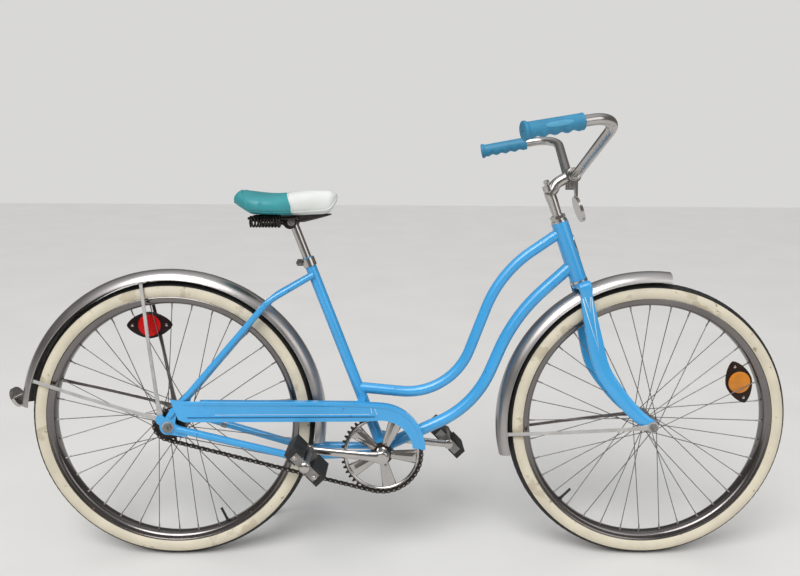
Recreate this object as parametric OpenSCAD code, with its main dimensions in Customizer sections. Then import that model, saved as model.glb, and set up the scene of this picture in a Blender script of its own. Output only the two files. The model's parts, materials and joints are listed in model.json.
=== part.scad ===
// Step-through cruiser bicycle with coaster brake, chrome fenders and a folding side stand.
// Millimetres. X runs forward, Y to the rider's left, Z up; the bicycle is drawn upright with the
// rear axle over x = 0, then leaned onto its side stand by parked().

/* [Wheels] */
// Distance between the two axles
wheelbase = 1118; // [1000:1:1200]
// Outer radius of the tyres
tyre_r = 330; // [300:1:345]
// Width of the tyre's round section
tyre_w = 44; // [38:1:52]
// Cream side band's outer edge in from the tread
band_drop = 10; // [6:0.5:14]
// Width of the cream side band, along the radius
band_wide = 24; // [14:0.5:27]
// Number of spokes in each wheel
spoke_count = 36; // [28:4:36]
// Radius of one spoke
spoke_r = 1; // [0.8:0.1:1.4]

/* [Stance] */
// Lean to the left on the side stand, degrees
lean = 6; // [3:0.5:9]
// How far out the stand's foot is
foot_y = 165; // [150:1:200]
// How far ahead of the rear axle the stand's foot is
foot_x = 200; // [120:1:240]

/* [Frame] */
// Bottom bracket ahead of the rear tyre's front edge
crank_gap = 160; // [150:1:190]
// Bottom bracket below the axles
crank_drop = 68; // [40:1:80]
// Seat tube angle above the ground line
seat_angle = 69; // [66:0.5:74]
// Seat tube's top edge above the tyre tops
seat_tube_up = 56; // [0:1:80]
// Seat tube radius
seat_tube_r = 13; // [12:0.1:16]
// Head tube angle above the ground line
head_angle = 70; // [66:0.5:74]
// Head tube's bottom above the tyre tops
head_clear = 7; // [0:1:30]
// Head tube's height
head_len = 133; // [110:1:160]
// Head tube radius
head_r = 19.5; // [16:0.1:21]
// Upper curved tube radius
top_tube_r = 12.7; // [11:0.1:15]
// Lower curved tube radius
down_tube_r = 14.3; // [12:0.1:16]
// Seat stay radius
seat_stay_r = 7.5; // [6:0.1:9]
// Chain stay radius
chain_stay_r = 8.5; // [7:0.1:10]

/* [Fork and bar] */
// Front axle ahead of the steering axis, measured square to it
fork_offset = 46.8; // [35:0.1:60]
// Fork blade thickness
blade_t = 9; // [7:0.5:12]
// Handlebar radius
bar_r = 11.1; // [10:0.1:12.7]
// Handlebar half width at the grip ends
bar_half = 302; // [260:1:340]
// Handlebar clamp above the head tube
clamp_up = 107; // [95:1:140]
// Grip ends above the handlebar clamp
grip_up = 72; // [20:1:110]
// Grip radius
grip_r = 16; // [14:0.5:19]

/* [Drive] */
// Chainring teeth
ring_teeth = 46; // [36:1:52]
// Rear sprocket teeth
cog_teeth = 18; // [16:1:22]
// Chain links around the loop
chain_links = 110; // [100:2:116]
// Chain line, measured out from the middle plane
chain_y = 44; // [42:0.5:48]
// Crank length
crank_len = 165; // [150:1:175]
// Right crank direction, degrees up from straight ahead
crank_turn = 173.7; // [0:0.1:360]
// Pedal tilt, degrees
pedal_tilt = -46; // [-90:1:90]

/* [Fenders] */
// Fender crown clear of the tyre
fender_clear = 28; // [22:1:40]
// Fender edge clear of the tyre
edge_clear = 5; // [2:1:12]
// Fender sheet thickness
fender_t = 1; // [0.8:0.1:2]

/* [Saddle] */
// Back end of the saddle behind the seat tube's top
saddle_set = 158.7; // [135:0.1:180]
// Saddle length
saddle_len = 229; // [210:1:270]
// Saddle half width at its widest
saddle_half = 98; // [80:1:120]
// Saddle's top above the seat tube
saddle_up = 154; // [110:1:190]
// Depth of the saddle's cushion
saddle_deep = 54; // [40:1:70]

/* [Hidden] */
$fn = 64;
weld = 0.05;
lap = 0.8;
far = 900;
axle_z = tyre_r;
section_r = tyre_w / 2;
tyre_mid = tyre_r - section_r;
band_out = tyre_r - band_drop;
band_in = band_out - band_wide;
rim_r = tyre_mid - 16;
fender_r = tyre_r + fender_clear;
fender_edge = tyre_r + edge_clear;
crank_x = tyre_r + crank_gap;
crank_z = axle_z - crank_drop;
seat_tube_z = 2 * tyre_r + seat_tube_up;
head_low_z = 2 * tyre_r + head_clear;
head_top_z = head_low_z + head_len;
clamp_z = head_top_z + clamp_up;
grip_z = clamp_z + grip_up;
saddle_z = seat_tube_z + saddle_up;
crank_c = [crank_x, 0, crank_z];
rear_c = [0, 0, axle_z];
front_c = [wheelbase, 0, axle_z];
head_up = [-cos(head_angle), 0, sin(head_angle)];
head_fore = [sin(head_angle), 0, cos(head_angle)];
steer_foot = front_c - fork_offset * head_fore;
seat_up = [-cos(seat_angle), 0, sin(seat_angle)];
front_axle_r = 3.97;
rear_axle_r = 4.76;

function on_head(z) = steer_foot + head_up * (z - steer_foot.z) / head_up.z;
function on_seat(z) = crank_c + seat_up * (z - crank_z) / seat_up.z;
function unit(v) = v / norm(v);
function side(p, s) = [p.x, s * p.y, p.z];
function polar(c, r, a, y) = [c.x + r * cos(a), y, c.z + r * sin(a)];

// The whole bicycle leans about the line where its tyres touch the floor.
lift = section_r * (1 - cos(lean));
tail_x = fender_r + 14;
mid_x = (wheelbase + tyre_r - tail_x) / 2;
mid_y = grip_z * sin(lean);
module parked() {
  translate([-mid_x, -mid_y, lift]) rotate([-lean, 0, 0]) children();
}

// Placing helpers
module aim(p, d) {
  translate(p) rotate([0, acos(d.z / norm(d)), atan2(d.y, d.x)]) children();
}

module rod(p, q, r, r2 = -1) {
  aim(p, q - p) cylinder(h = norm(q - p), r1 = r, r2 = r2 < 0 ? r : r2);
}

// A short cylinder lying across the bicycle between two lateral stations
module across(c, y0, y1, r) {
  translate([c.x, y0, c.z]) rotate([-90, 0, 0]) cylinder(h = y1 - y0, r = r);
}

// A flat shape drawn in x and z, made solid between two lateral stations
module slab(y0, y1) {
  translate([0, y1, 0]) rotate([90, 0, 0]) linear_extrude(height = y1 - y0) children();
}

// A ring or shell turned about a wheel's axle line
module turned(c) {
  translate(c) rotate([90, 0, 0]) rotate_extrude($fn = 128) children();
}

// Bent tubes: straight runs between corner points, each corner rounded by its own radius
function turn_at(p, i) = acos(unit(p[i] - p[i - 1]) * unit(p[i + 1] - p[i]));
function setback(p, bend, i) = i <= 0 || i >= len(p) - 1 ? 0 : bend[i] * tan(turn_at(p, i) / 2);
function roll(d, e) =
  let (az = atan2(d.y, d.x), el = acos(d.z / norm(d)))
  atan2(e * [-sin(az), cos(az), 0], e * [cos(el) * cos(az), cos(el) * sin(az), -sin(el)]);

// The runs reach a little into the bends, which are a hair thinner, so each tube is one solid.
module bent(p, bend, r) {
  for (i = [0 : len(p) - 2]) {
    d = unit(p[i + 1] - p[i]);
    a = setback(p, bend, i) - (i > 0 ? lap : 0);
    b = setback(p, bend, i + 1) - (i < len(p) - 2 ? lap : 0);
    aim(p[i] + d * a, d) cylinder(h = norm(p[i + 1] - p[i]) - a - b, r = r);
  }
  for (i = [1 : 1 : len(p) - 2]) {
    d = unit(p[i] - p[i - 1]);
    t = turn_at(p, i);
    aim(p[i] - d * setback(p, bend, i), d)
      rotate([0, 0, roll(d, p[i + 1] - p[i])])
        translate([bend[i], 0, 0]) rotate([90, 0, 0]) rotate([0, 0, 180 - t])
          rotate_extrude(angle = t) translate([bend[i], 0]) circle(r = r - 0.05);
  }
}

// Frame tubes
top_joint = on_head(head_top_z - 20);
top_bend = top_joint + [-141.4, 0, -98];
top_dip = [(crank_x + 163 + top_bend.x - 110) / 2, 0, crank_z + 126];
down_joint = on_head(head_low_z + 37);
down_bend = down_joint + [-133, 0, -123];
down_dip = [down_bend.x - 90, 0, crank_z + 102];
top_tube_path = [on_seat(crank_z + 147), top_dip, top_bend, top_joint];
down_tube_path = [crank_c, down_dip, down_bend, down_joint];
stay_end = [4, 58.5, axle_z + 24];
seat_stay_path = [on_seat(seat_tube_z - 39) + [0, 12, 0], polar(rear_c, fender_r + 13.4, 51.34, 41), stay_end];
chain_stay_path = [crank_c + [0, 25, -6], crank_c + [-205, 40, -9], [20, 58.5, axle_z - 5]];
shell_r = 28;
shell_half = 34;
post_r = 10.3;

module head_envelope(grow) {
  rod(on_head(head_low_z), on_head(head_top_z), head_r + grow);
}

module seat_envelope(grow) {
  rod(crank_c, on_seat(seat_tube_z), seat_tube_r + grow);
}

module shell_envelope(grow) {
  across(crank_c, -shell_half - grow, shell_half + grow, shell_r + grow);
}

module head_tube() {
  color("deepskyblue") difference() {
    head_envelope(0);
    rod(on_head(head_low_z - 5), on_head(head_top_z + 5), 14.6);
  }
}

module top_tube() {
  color("deepskyblue") difference() {
    bent(top_tube_path, [0, 155, 280, 0], top_tube_r);
    head_envelope(weld);
    seat_envelope(weld);
  }
}

module down_tube() {
  color("deepskyblue") difference() {
    bent(down_tube_path, [0, 235, 400, 0], down_tube_r);
    head_envelope(weld);
    shell_envelope(weld);
    top_tube_end();
  }
}

module top_tube_end() {
  rod(top_tube_path[2], top_tube_path[3], top_tube_r + weld);
}

module seat_tube() {
  color("deepskyblue") difference() {
    seat_envelope(0);
    shell_envelope(weld);
    rod(on_seat(seat_tube_z - 150), on_seat(seat_tube_z + 5), post_r + 0.05);
  }
}

module bottom_bracket_shell() {
  color("deepskyblue") difference() {
    shell_envelope(0);
    across(crank_c, -far, far, 20);
  }
}

module bracket_cups() {
  color("silver") for (s = [-1, 1]) difference() {
    union() {
      across(crank_c, min(s * 24, s * 36), max(s * 24, s * 36), 19.95);
      across(crank_c, min(s * 34.05, s * 38), max(s * 34.05, s * 38), 24);
    }
    across(crank_c, -far, far, 12.5);
  }
}

module seat_stay(s) {
  color("deepskyblue") difference() {
    bent([for (p = seat_stay_path) side(p, s)], [0, 110, 0], seat_stay_r);
    seat_envelope(weld);
    dropout_plate(s, weld);
    mirror_side(s) seat_stay_bridge_line(weld);
  }
}

module mirror_side(s) {
  if (s > 0) children();
  else mirror([0, 1, 0]) children();
}

module left_seat_stay() { seat_stay(1); }

module right_seat_stay() { seat_stay(-1); }

bridge_c = polar(rear_c, fender_r + 5.2, 51.44, 0);
module seat_stay_bridge_line(grow) {
  across(bridge_c, -60, 60, 5 + grow);
}

module seat_stay_bridge() {
  color("deepskyblue") difference() {
    across(bridge_c, -41, 41, 5);
    turned(rear_c) translate([0, -far / 2]) square([fender_r + weld, far]);
  }
}

module chain_stay(s) {
  color("deepskyblue") difference() {
    bent([for (p = chain_stay_path) side(p, s)], [0, 190, 0], chain_stay_r);
    across(crank_c, -60, 60, shell_r + weld);
    dropout_plate(s, weld);
  }
}

module left_chain_stay() { chain_stay(1); }

module right_chain_stay() { chain_stay(-1); }

// Rear fork ends: a round plate with an arm to each stay and a slot open to the front
module dropout_shape() {
  difference() {
    union() {
      translate([0, axle_z]) circle(r = 19);
      polygon([[-14, axle_z + 8], [8, axle_z + 44], [22, axle_z + 36], [14, axle_z - 4]]);
      polygon([[0, axle_z - 18], [42, axle_z - 24], [46, axle_z - 8], [8, axle_z + 10]]);
    }
    translate([0, axle_z]) circle(r = rear_axle_r + 0.25);
  }
}

module dropout_plate(s, grow) {
  slab(min(s * (55 - grow), s * (60 + grow)), max(s * (55 - grow), s * (60 + grow))) dropout_shape();
}

module rear_dropouts() {
  color("deepskyblue") for (s = [-1, 1]) dropout_plate(s, 0);
}

// Rear axle with its cones, washers and track nuts
module rear_axle() {
  color("silver") union() {
    across(rear_c, -77, 77, rear_axle_r);
    for (s = [-1, 1]) {
      translate([0, s > 0 ? 62.1 : -70.1, axle_z]) rotate([-90, 0, 0]) cylinder(h = 8, r = 11, $fn = 6);
      across(rear_c, min(s * 52.6, s * 54.95), max(s * 52.6, s * 54.95), 10);
    }
  }
}

// Seat post, band clamp and bolt
module seat_post() {
  color("silver") rod(on_seat(seat_tube_z - 90), on_seat(saddle_z - 62), post_r);
}

module seat_clamp() {
  color("silver") difference() {
    union() {
      rod(on_seat(seat_tube_z - 20), on_seat(seat_tube_z - 2), seat_tube_r + 2.4);
      translate(on_seat(seat_tube_z - 12) - [20, 0, 0]) cube([14, 9, 15], center = true);
      across(on_seat(seat_tube_z - 12) - [22, 0, 0], -11, 11, 3.5);
    }
    seat_envelope(weld);
  }
}

// Fenders: a domed strip turned about the axle with a rolled bead along both edges
module fender_section() {
  half = fender_r - fender_edge + 6;
  mid = fender_r - half;
  difference() {
    translate([mid, 0]) circle(r = half);
    translate([mid, 0]) circle(r = half - fender_t);
    translate([0, -100]) square([fender_edge, 200]);
  }
  for (s = [-1, 1]) {
    translate([fender_edge, s * sqrt(half * half - 36) - s * 0.6]) circle(r = 1.3);
  }
}

module fender(c, from, to) {
  translate(c) rotate([90, 0, 0]) rotate([0, 0, from])
    rotate_extrude(angle = to - from, $fn = 128) fender_section();
}

front_from = 83.4;
front_to = 193.6;
rear_from = -8.5;
rear_to = 174;
bead_y = 28.2;

module rear_fender() {
  color("gainsboro") difference() {
    fender(rear_c, rear_from, rear_to);
    for (s = [-1, 1]) rod(side(seat_stay_path[1], s), side(stay_end, s), seat_stay_r + 1);
  }
}

module front_fender() {
  color("gainsboro") fender(front_c, front_from, front_to);
}

// Fender stays: a rod from the axle eye to the inside of the fender edge
module fender_stay(c, s, a, eye_y) {
  foot = polar(c, fender_edge + 1, a, s * 24);
  knee = polar(c, 58, a, s * (eye_y + 2.25));
  hub = polar(c, 8, a, s * (eye_y + 2.25));
  difference() {
    bent([hub, knee, foot], [0, 40, 0], 2.2);
    across(c, -far, far, 11.5);
  }
}

module stay_eye(c, s, eye_y, hole) {
  difference() {
    across(c, min(s * eye_y, s * (eye_y + 1.9)), max(s * eye_y, s * (eye_y + 1.9)), 13);
    across(c, -far, far, hole);
  }
}

module rear_fender_stays() {
  color("darkgray") for (s = [-1, 1]) {
    stay_eye(rear_c, s, 60.1, rear_axle_r + 0.2);
    fender_stay(rear_c, s, 100.6, 60.1);
    fender_stay(rear_c, s, 163, 60.1);
  }
}

module front_fender_stays() {
  color("darkgray") for (s = [-1, 1]) {
    stay_eye(front_c, s, 55.1, front_axle_r + 0.2);
    fender_stay(front_c, s, 185, 55.1);
  }
}

// Rear reflector on the fender tail
reflector_n = [-0.906, 0, -0.423];
reflector_c = [-fender_r - 6, 0, axle_z + 55];
module rear_reflector_body() {
  color("gainsboro") difference() {
    union() {
      aim(reflector_c, reflector_n) cylinder(h = 8, r = 24);
      rod(reflector_c - reflector_n * 18, reflector_c + reflector_n, 5);
    }
    turned(rear_c) translate([0, -far / 2]) square([fender_r + weld, far]);
    aim(reflector_c + reflector_n * 5, reflector_n) cylinder(h = 8, r = 21.6);
  }
}

module rear_reflector_lens() {
  color("red") aim(reflector_c + reflector_n * 5.05, reflector_n) cylinder(h = 4.5, r = 21.5);
}

// Chain guard: a flat blade with a top flange, curling round the front of the chainring
hook_c = [crank_x - 8, crank_z + 13];
hook_r = 109;
inner_c = [crank_x - 3, crank_z + 8];
inner_r = 75;
guard_y = 57;
guard_toe = 1.33;
function guard_top(drop) = concat(
  [[9, axle_z + 67 - drop], [40, axle_z + 62.5 - drop], [crank_x - 190, crank_z + 128 - drop],
   [crank_x - 60, crank_z + 126 - drop]],
  [for (a = [84 : -6 : 0]) [hook_c.x + (hook_r - drop) * cos(a), hook_c.y + (hook_r - drop) * sin(a)]]);
guard_low = concat(
  [for (a = [6 : 7 : 90]) [inner_c.x + inner_r * cos(a), inner_c.y + inner_r * sin(a)]],
  [[crank_x - 50, crank_z + 81], [40, axle_z + 13.5], [26, axle_z + 20]]);

module toed() {
  translate([crank_x, -guard_y, 0]) rotate([0, 0, guard_toe]) translate([-crank_x, 0, 0]) children();
}

module chain_guard() {
  color("deepskyblue") difference() {
    union() {
      toed() slab(0, 1.2) polygon(concat(guard_top(0), guard_low));
      toed() slab(1.1, 15) intersection() {
        polygon(concat(guard_top(0), guard_strip(1.2)));
        translate([75, 0]) square([600, 600]);
      }
      toed() slab(-0.7, 0.1) polygon([[40, axle_z + 23],
        [crank_x - 35, crank_z + 91], [crank_x - 35, crank_z + 94.5], [40, axle_z + 26.5]]);
      slab(-46, -12) translate([crank_x - 57, crank_z + 122.5]) square([18, 2.2]);
    }
    seat_envelope(weld);
  }
}

function guard_strip(drop) = let (t = guard_top(drop)) [for (i = [len(t) - 1 : -1 : 0]) t[i]];

// Chain: two strips of waisted side plates round the loop, with a slot between them for the teeth
pitch = 12.7;
ring_pitch_r = pitch / (2 * sin(180 / ring_teeth));
cog_pitch_r = pitch / (2 * sin(180 / cog_teeth));
run_d = norm([crank_x, axle_z - crank_z]);
run_a = atan2(crank_z - axle_z, crank_x);
run_b = acos((cog_pitch_r - ring_pitch_r) / run_d);
run_len = run_d * sin(run_b);
ring_wrap = 2 * run_b;
cog_wrap = 360 - 2 * run_b;
ring_arc = ring_wrap * PI / 180 * ring_pitch_r;
cog_arc = cog_wrap * PI / 180 * cog_pitch_r;
loop_len = 2 * run_len + ring_arc + cog_arc;
top_a = run_a + run_b;
low_a = run_a - run_b;

// Point on the loop a distance s along it, pushed out by o; starts on top of the rear sprocket
function chain_at(s, o) =
  s < run_len ? let (n = [cos(top_a), sin(top_a)])
      [0, axle_z] + n * (cog_pitch_r + o) + [sin(top_a), -cos(top_a)] * s
  : s < run_len + ring_arc ? let (a = top_a - (s - run_len) / ring_pitch_r * 180 / PI)
      [crank_x, crank_z] + [cos(a), sin(a)] * (ring_pitch_r + o)
  : s < 2 * run_len + ring_arc ? let (n = [cos(low_a), sin(low_a)])
      [crank_x, crank_z] + n * (ring_pitch_r + o) + [sin(low_a), -cos(low_a)] * (s - run_len - ring_arc)
  : let (a = low_a - (s - 2 * run_len - ring_arc) / cog_pitch_r * 180 / PI)
      [0, axle_z] + [cos(a), sin(a)] * (cog_pitch_r + o);

function chain_edge(s) = [for (i = [0 : 2 * chain_links - 1])
  chain_at(i * loop_len / chain_links / 2, s * (i % 2 == 0 ? 4.3 : 2.9))];

module chain_side(y0, y1) {
  slab(y0, y1) difference() {
    polygon(chain_edge(1));
    polygon(chain_edge(-1));
  }
}

module chain_pin(i) {
  p = chain_at(i * loop_len / chain_links, 0);
  translate([p.x, -chain_y - 2, p.y]) rotate([-90, 0, 0]) cylinder(h = 4, r = 2.6, $fn = 6);
}

module chain() {
  free_top = floor(run_len / loop_len * chain_links);
  low_start = ceil((run_len + ring_arc) / loop_len * chain_links);
  low_end = floor((2 * run_len + ring_arc) / loop_len * chain_links);
  color("saddlebrown") {
    chain_side(-chain_y - 3.7, -chain_y - 1.7);
    chain_side(-chain_y + 1.7, -chain_y + 3.7);
    for (i = [4 : 2 : free_top - 4]) chain_pin(i);
    for (i = [low_start + 4 : 2 : low_end - 4]) chain_pin(i);
  }
}

// Toothed wheels
function teeth(n, r) = [for (i = [0 : n - 1], k = [0 : 3])
  let (a = 360 / n * (i + [0.18, 0.38, 0.62, 0.82][k]), q = r + [-3.6, 3.4, 3.4, -3.6][k]) [q * cos(a), q * sin(a)]];

module rear_sprocket() {
  color("dimgray") translate([0, -chain_y, axle_z]) rotate([90, 0, 0]) difference() {
    union() {
      linear_extrude(height = 2.4, center = true) polygon(teeth(cog_teeth, cog_pitch_r));
      translate([0, 0, -2.5]) cylinder(h = 10.5, r = 17);
    }
    cylinder(h = 60, r = rear_axle_r + 0.35, center = true);
  }
}

module crank_frame(y) {
  translate([crank_x, y, crank_z]) rotate([0, -crank_turn, 0]) children();
}

module chainring() {
  color("silver") crank_frame(-chain_y) rotate([90, 0, 0]) linear_extrude(height = 2.4, center = true) difference() {
    union() {
      difference() {
        polygon(teeth(ring_teeth, ring_pitch_r));
        circle(r = 81);
      }
      circle(r = 26);
      for (i = [0 : 4]) rotate(i * 72 - 5 - crank_turn) polygon([[20, -9], [82.5, -17], [82.5, 17], [20, 9]]);
    }
    circle(r = 12.05);
  }
}

module crank_arm_shape() {
  circle(r = 17);
  polygon([[0, -13], [crank_len, -8.5], [crank_len, 8.5], [0, 13]]);
  translate([crank_len, 0]) circle(r = 12);
}

arm_in = 66;
arm_out = 78;
module crank() {
  color("silver") union() {
    across(crank_c, -arm_out, arm_out, 12);
    across(crank_c, -arm_in - 0.1, -chain_y - 1.25, 18);
    crank_frame(0) slab(-arm_out, -arm_in) crank_arm_shape();
    crank_frame(0) slab(arm_in, arm_out) mirror([1, 0]) crank_arm_shape();
    for (s = [-1, 1]) pedal_spindle(s);
  }
}

function pedal_c(s) = [crank_x - s * crank_len * cos(crank_turn), 0, crank_z - s * crank_len * sin(crank_turn)];

module pedal_spindle(s) {
  across(pedal_c(s), min(s * 67, s * 84), max(s * 67, s * 84), 6.9);
  across(pedal_c(s), min(s * 83, s * 176), max(s * 83, s * 176), 5.5);
}

module at_pedal(s) {
  translate([pedal_c(s).x, 0, pedal_c(s).z]) rotate([0, -pedal_tilt, 0]) mirror_side(s) children();
}

module pedal_cage(s) {
  color("silver") at_pedal(s) difference() {
    union() {
      across([0, 0, 0], 87, 178, 9);
      translate([0, 88.5, 0]) cube([70, 2.5, 20], center = true);
      translate([0, 176.5, 0]) cube([70, 2.5, 20], center = true);
      across([0, 0, 0], 174, 180, 13);
      for (x = [-30, 30]) across([x, 0, 0], 86, 179, 3);
    }
    across([0, 0, 0], 80, 176.4, 5.9);
  }
}

module pedal_rubbers(s) {
  color("#2a2a2a") at_pedal(s) for (x = [-1, 1]) difference() {
    translate([x * 33, 132.5, 0]) cube([32, 85, 28], center = true);
    across([x * 30, 0, 0], 80, 190, 3.05);
    across([0, 0, 0], 80, 190, 20);
    for (k = [0 : 6], z = [-14, 14]) translate([x * 33, 96 + k * 12, z]) cube([40, 4, 3], center = true);
  }
}

module left_pedal_cage() { pedal_cage(1); }

module right_pedal_cage() { pedal_cage(-1); }

module left_pedal_rubbers() { pedal_rubbers(1); }

module right_pedal_rubbers() { pedal_rubbers(-1); }

// Coaster brake arm, strapped to the left chain stay
module brake_arm() {
  strap_x = 104;
  path = [for (p = chain_stay_path) p];
  d = unit(path[2] - path[1]);
  c = path[1] + d * ((strap_x - path[1].x) / d.x);
  color("darkgray") difference() {
    union() {
      slab(49.2, 52.4) difference() {
        union() {
          translate([0, axle_z]) circle(r = 15);
          polygon([[0, axle_z - 15], [strap_x + 8, c.z + 8], [strap_x + 8, c.z + 19], [6, axle_z + 14]]);
        }
        translate([0, axle_z]) circle(r = rear_axle_r + 0.2);
      }
      rod(c - d * 6, c + d * 6, chain_stay_r + 1.6);
    }
    bent(chain_stay_path, [0, 190, 0], chain_stay_r + weld);
  }
}

// Side stand: a straight leg on a slanted pin, so it swings from out and down to level beside the wheel
stand_p = crank_c + [-185, 46, -45];
stand_r = 6.5;
foot_r = 8;
foot_z = (foot_r - lift + foot_y * sin(lean)) / cos(lean);
stand_foot = [foot_x, foot_y, foot_z];
stand_down = unit(stand_foot - stand_p);
stand_back = unit([-1, 0.04, 0]);
stand_axis = unit(cross(stand_down, stand_back));
stand_fold = acos(stand_down * stand_back);

module kickstand() {
  color("silver") union() {
    rod(stand_p, stand_foot, stand_r);
    translate(stand_foot) sphere(r = foot_r);
    rod(stand_p - stand_axis * 6.6, stand_p + stand_axis * 9, 10);
    rod(stand_p - stand_axis * 24, stand_p, 6);
  }
}

module kickstand_housing() {
  c = stand_p - stand_axis * 16;
  stay_p = chain_stay_path[1] + [12, -1, 0];
  color("deepskyblue") difference() {
    union() {
      rod(stand_p - stand_axis * 25, stand_p - stand_axis * 7.2, 11);
      rod(c, stay_p, 7);
    }
    rod(stand_p - stand_axis * 40, stand_p + stand_axis * 20, 6.35);
    rod(stand_p - stand_axis * 7.1, stand_p + stand_axis * 30, 11.4);
    bent(chain_stay_path, [0, 190, 0], chain_stay_r + weld);
  }
}

// Saddle: sections lofted from the wide back to the nose
function saddle_w(u) = u < 0.30 ? saddle_half * sqrt(1 - pow((0.30 - u) / 0.34, 2))
  : 27 + (saddle_half - 27) * pow(cos(90 * (u - 0.30) / 0.70), 1.35) * (1 - 0.12 * u);
function saddle_top(u) = saddle_z - 7 * pow(sin(180 * min(1, u * 1.25)), 2) - 16 * pow(max(0, (u - 0.88) / 0.12), 2)
  - 24 * pow(max(0, (0.08 - u) / 0.08), 2);
function saddle_low(u) = saddle_z - saddle_deep + 10 * pow(max(0, (u - 0.85) / 0.15), 2) + 8 * pow(max(0, (0.1 - u) / 0.1), 2);
sec_n = 32;
function saddle_pt(u, k) =
  let (a = 360 * k / sec_n, w = saddle_w(u), t = saddle_top(u), b = saddle_low(u), m = b + (t - b) * 0.38,
       c = cos(a), s = sin(a))
  [saddle_back + u * saddle_len, w * sign(c) * pow(abs(c), 0.75),
   s > 0 ? m + (t - m) * pow(s, 0.85) : m - (m - b) * pow(-s, 0.6)];

module saddle_loft(us) {
  n = len(us);
  pts = [for (u = us, k = [0 : sec_n - 1]) saddle_pt(u, k)];
  sides = [for (i = [0 : n - 2], k = [0 : sec_n - 1], h = [0, 1])
    let (a = i * sec_n + k, b = i * sec_n + (k + 1) % sec_n)
    h == 0 ? [a, b, b + sec_n] : [a, b + sec_n, a + sec_n]];
  ends = [[for (k = [sec_n - 1 : -1 : 0]) k], [for (k = [0 : sec_n - 1]) (n - 1) * sec_n + k]];
  polyhedron(points = pts, faces = concat(sides, ends), convexity = 4);
}

saddle_split = 0.55;
module saddle_back_cover() {
  color("teal") saddle_loft([0.01, 0.03, 0.06, 0.1, 0.15, 0.2, 0.26, 0.32, 0.38, 0.44, 0.5, saddle_split - 0.0003]);
}

module saddle_nose_cover() {
  color("ivory") saddle_loft([saddle_split, 0.6, 0.66, 0.72, 0.78, 0.84, 0.89, 0.93, 0.96, 0.98, 0.995]);
}

// Saddle chassis: clamp, rails and level coil springs under the cushion
saddle_back = on_seat(seat_tube_z).x - saddle_set;
saddle_clamp_c = on_seat(saddle_z - 73) - [4, 0, 0];
rail_z = saddle_z - saddle_deep - 3.2;
spring_turns = 14;
module coil_spring() {
  rotate_extrude() {
    for (k = [0 : spring_turns]) translate([6, 2 + k * 3.7]) circle(r = 2, $fn = 24);
    for (k = [0, spring_turns]) translate([0, 1 + k * 3.7]) square([6, 2]);
  }
}

module saddle_chassis() {
  color("dimgray") difference() {
    union() {
      across(saddle_clamp_c, -24, 24, 13);
      for (s = [-1, 1]) {
        across(saddle_clamp_c, min(s * 24, s * 29), max(s * 24, s * 29), 15);
        bent([[saddle_back + 188, s * 12, rail_z], [saddle_back + 143, s * 20, saddle_clamp_c.z + 4],
              [saddle_back + 93, s * 22, saddle_clamp_c.z + 2], [saddle_back + 43, s * 40, rail_z - 4]], [0, 20, 20, 0], 3.2);
      }
      for (y = [-60, -36, 36, 60]) {
        rod([saddle_back + 39, y, rail_z - 6], [saddle_back + 143, y, rail_z - 6], 2.2);
        aim([saddle_back + 48, y, rail_z - 6], [1, 0, 0]) coil_spring();
      }
      for (x = [39, 143]) rod([saddle_back + x, -66, rail_z - 6], [saddle_back + x, 66, rail_z - 6], 3);
    }
    rod(on_seat(saddle_z - 170), on_seat(saddle_z - 50), post_r + weld);
    translate([0, -200, saddle_z - saddle_deep]) cube([far, 400, 200]);
  }
}

// Headset
cup_h = 6;
module headset_cups() {
  color("silver") difference() {
    union() {
      rod(on_head(head_low_z) - head_up * cup_h, on_head(head_low_z) - head_up * weld, head_r + 1.2);
      rod(on_head(head_top_z) + head_up * weld, on_head(head_top_z) + head_up * 5, head_r - 1);
    }
    rod(on_head(head_low_z) - head_up * 20, on_head(head_top_z) + head_up * 20, 13.2);
  }
}

module headset_nut() {
  color("silver") difference() {
    union() {
      rod(on_head(head_top_z) + head_up * 5.4, on_head(head_top_z) + head_up * 9, 16.5);
      aim(on_head(head_top_z) + head_up * 8.9, head_up) cylinder(h = 7, r = 18, $fn = 6);
    }
    rod(on_head(head_top_z), on_head(head_top_z) + head_up * 40, 12.75);
  }
}

// Fork: steerer, crown and two flat blades swept forward to the axle
fork_top = on_head(head_low_z) - head_up * (cup_h + 0.4);
blade_in = 31;
blade_top = [on_head(head_low_z - 14).x + 2.4, head_low_z - 14];
blade_run = wheelbase - blade_top.x;
blade_fall = blade_top.y - axle_z;
blade_splay = asin(12.4 / blade_fall);
blade_line = [[0, 0], [0.048, -0.14], [0.145, -0.356], [0.273, -0.588], [0.521, -0.774], [0.776, -0.916], [1.012, -0.997]];
blade_mid = [for (p = blade_line) [p.x * blade_run, p.y * blade_fall]];
blade_half = [11, 14.5, 17, 17.5, 16.5, 15, 12];
function spline(v, t) =
  let (n = len(v) - 1, i = min(n - 1, floor(t * n)), f = t * n - i, a = v[max(0, i - 1)], b = v[i], c = v[i + 1],
       d = v[min(n, i + 2)])
  0.5 * ((2 * b) + (c - a) * f + (2 * a - 5 * b + 4 * c - d) * f * f + (3 * b - a - 3 * c + d) * f * f * f);
function blade_edge(t, s) =
  let (p = spline(blade_mid, t), q = spline(blade_mid, min(1, t + 0.01)) - spline(blade_mid, max(0, t - 0.01)), n = unit(q))
  p + s * spline(blade_half, t) * [-n.y, n.x];
module blade_shape() {
  ts = [for (i = [0 : 24]) i / 24];
  translate(blade_top) polygon(concat([for (t = ts) blade_edge(t, 1)], [for (i = [24 : -1 : 0]) blade_edge(ts[i], -1)]));
}

module blade(s) {
  mirror_side(s) translate([0, blade_in, blade_top.y]) rotate([blade_splay, 0, 0]) translate([0, 0, -blade_top.y])
    slab(0, blade_t) blade_shape();
}

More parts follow.
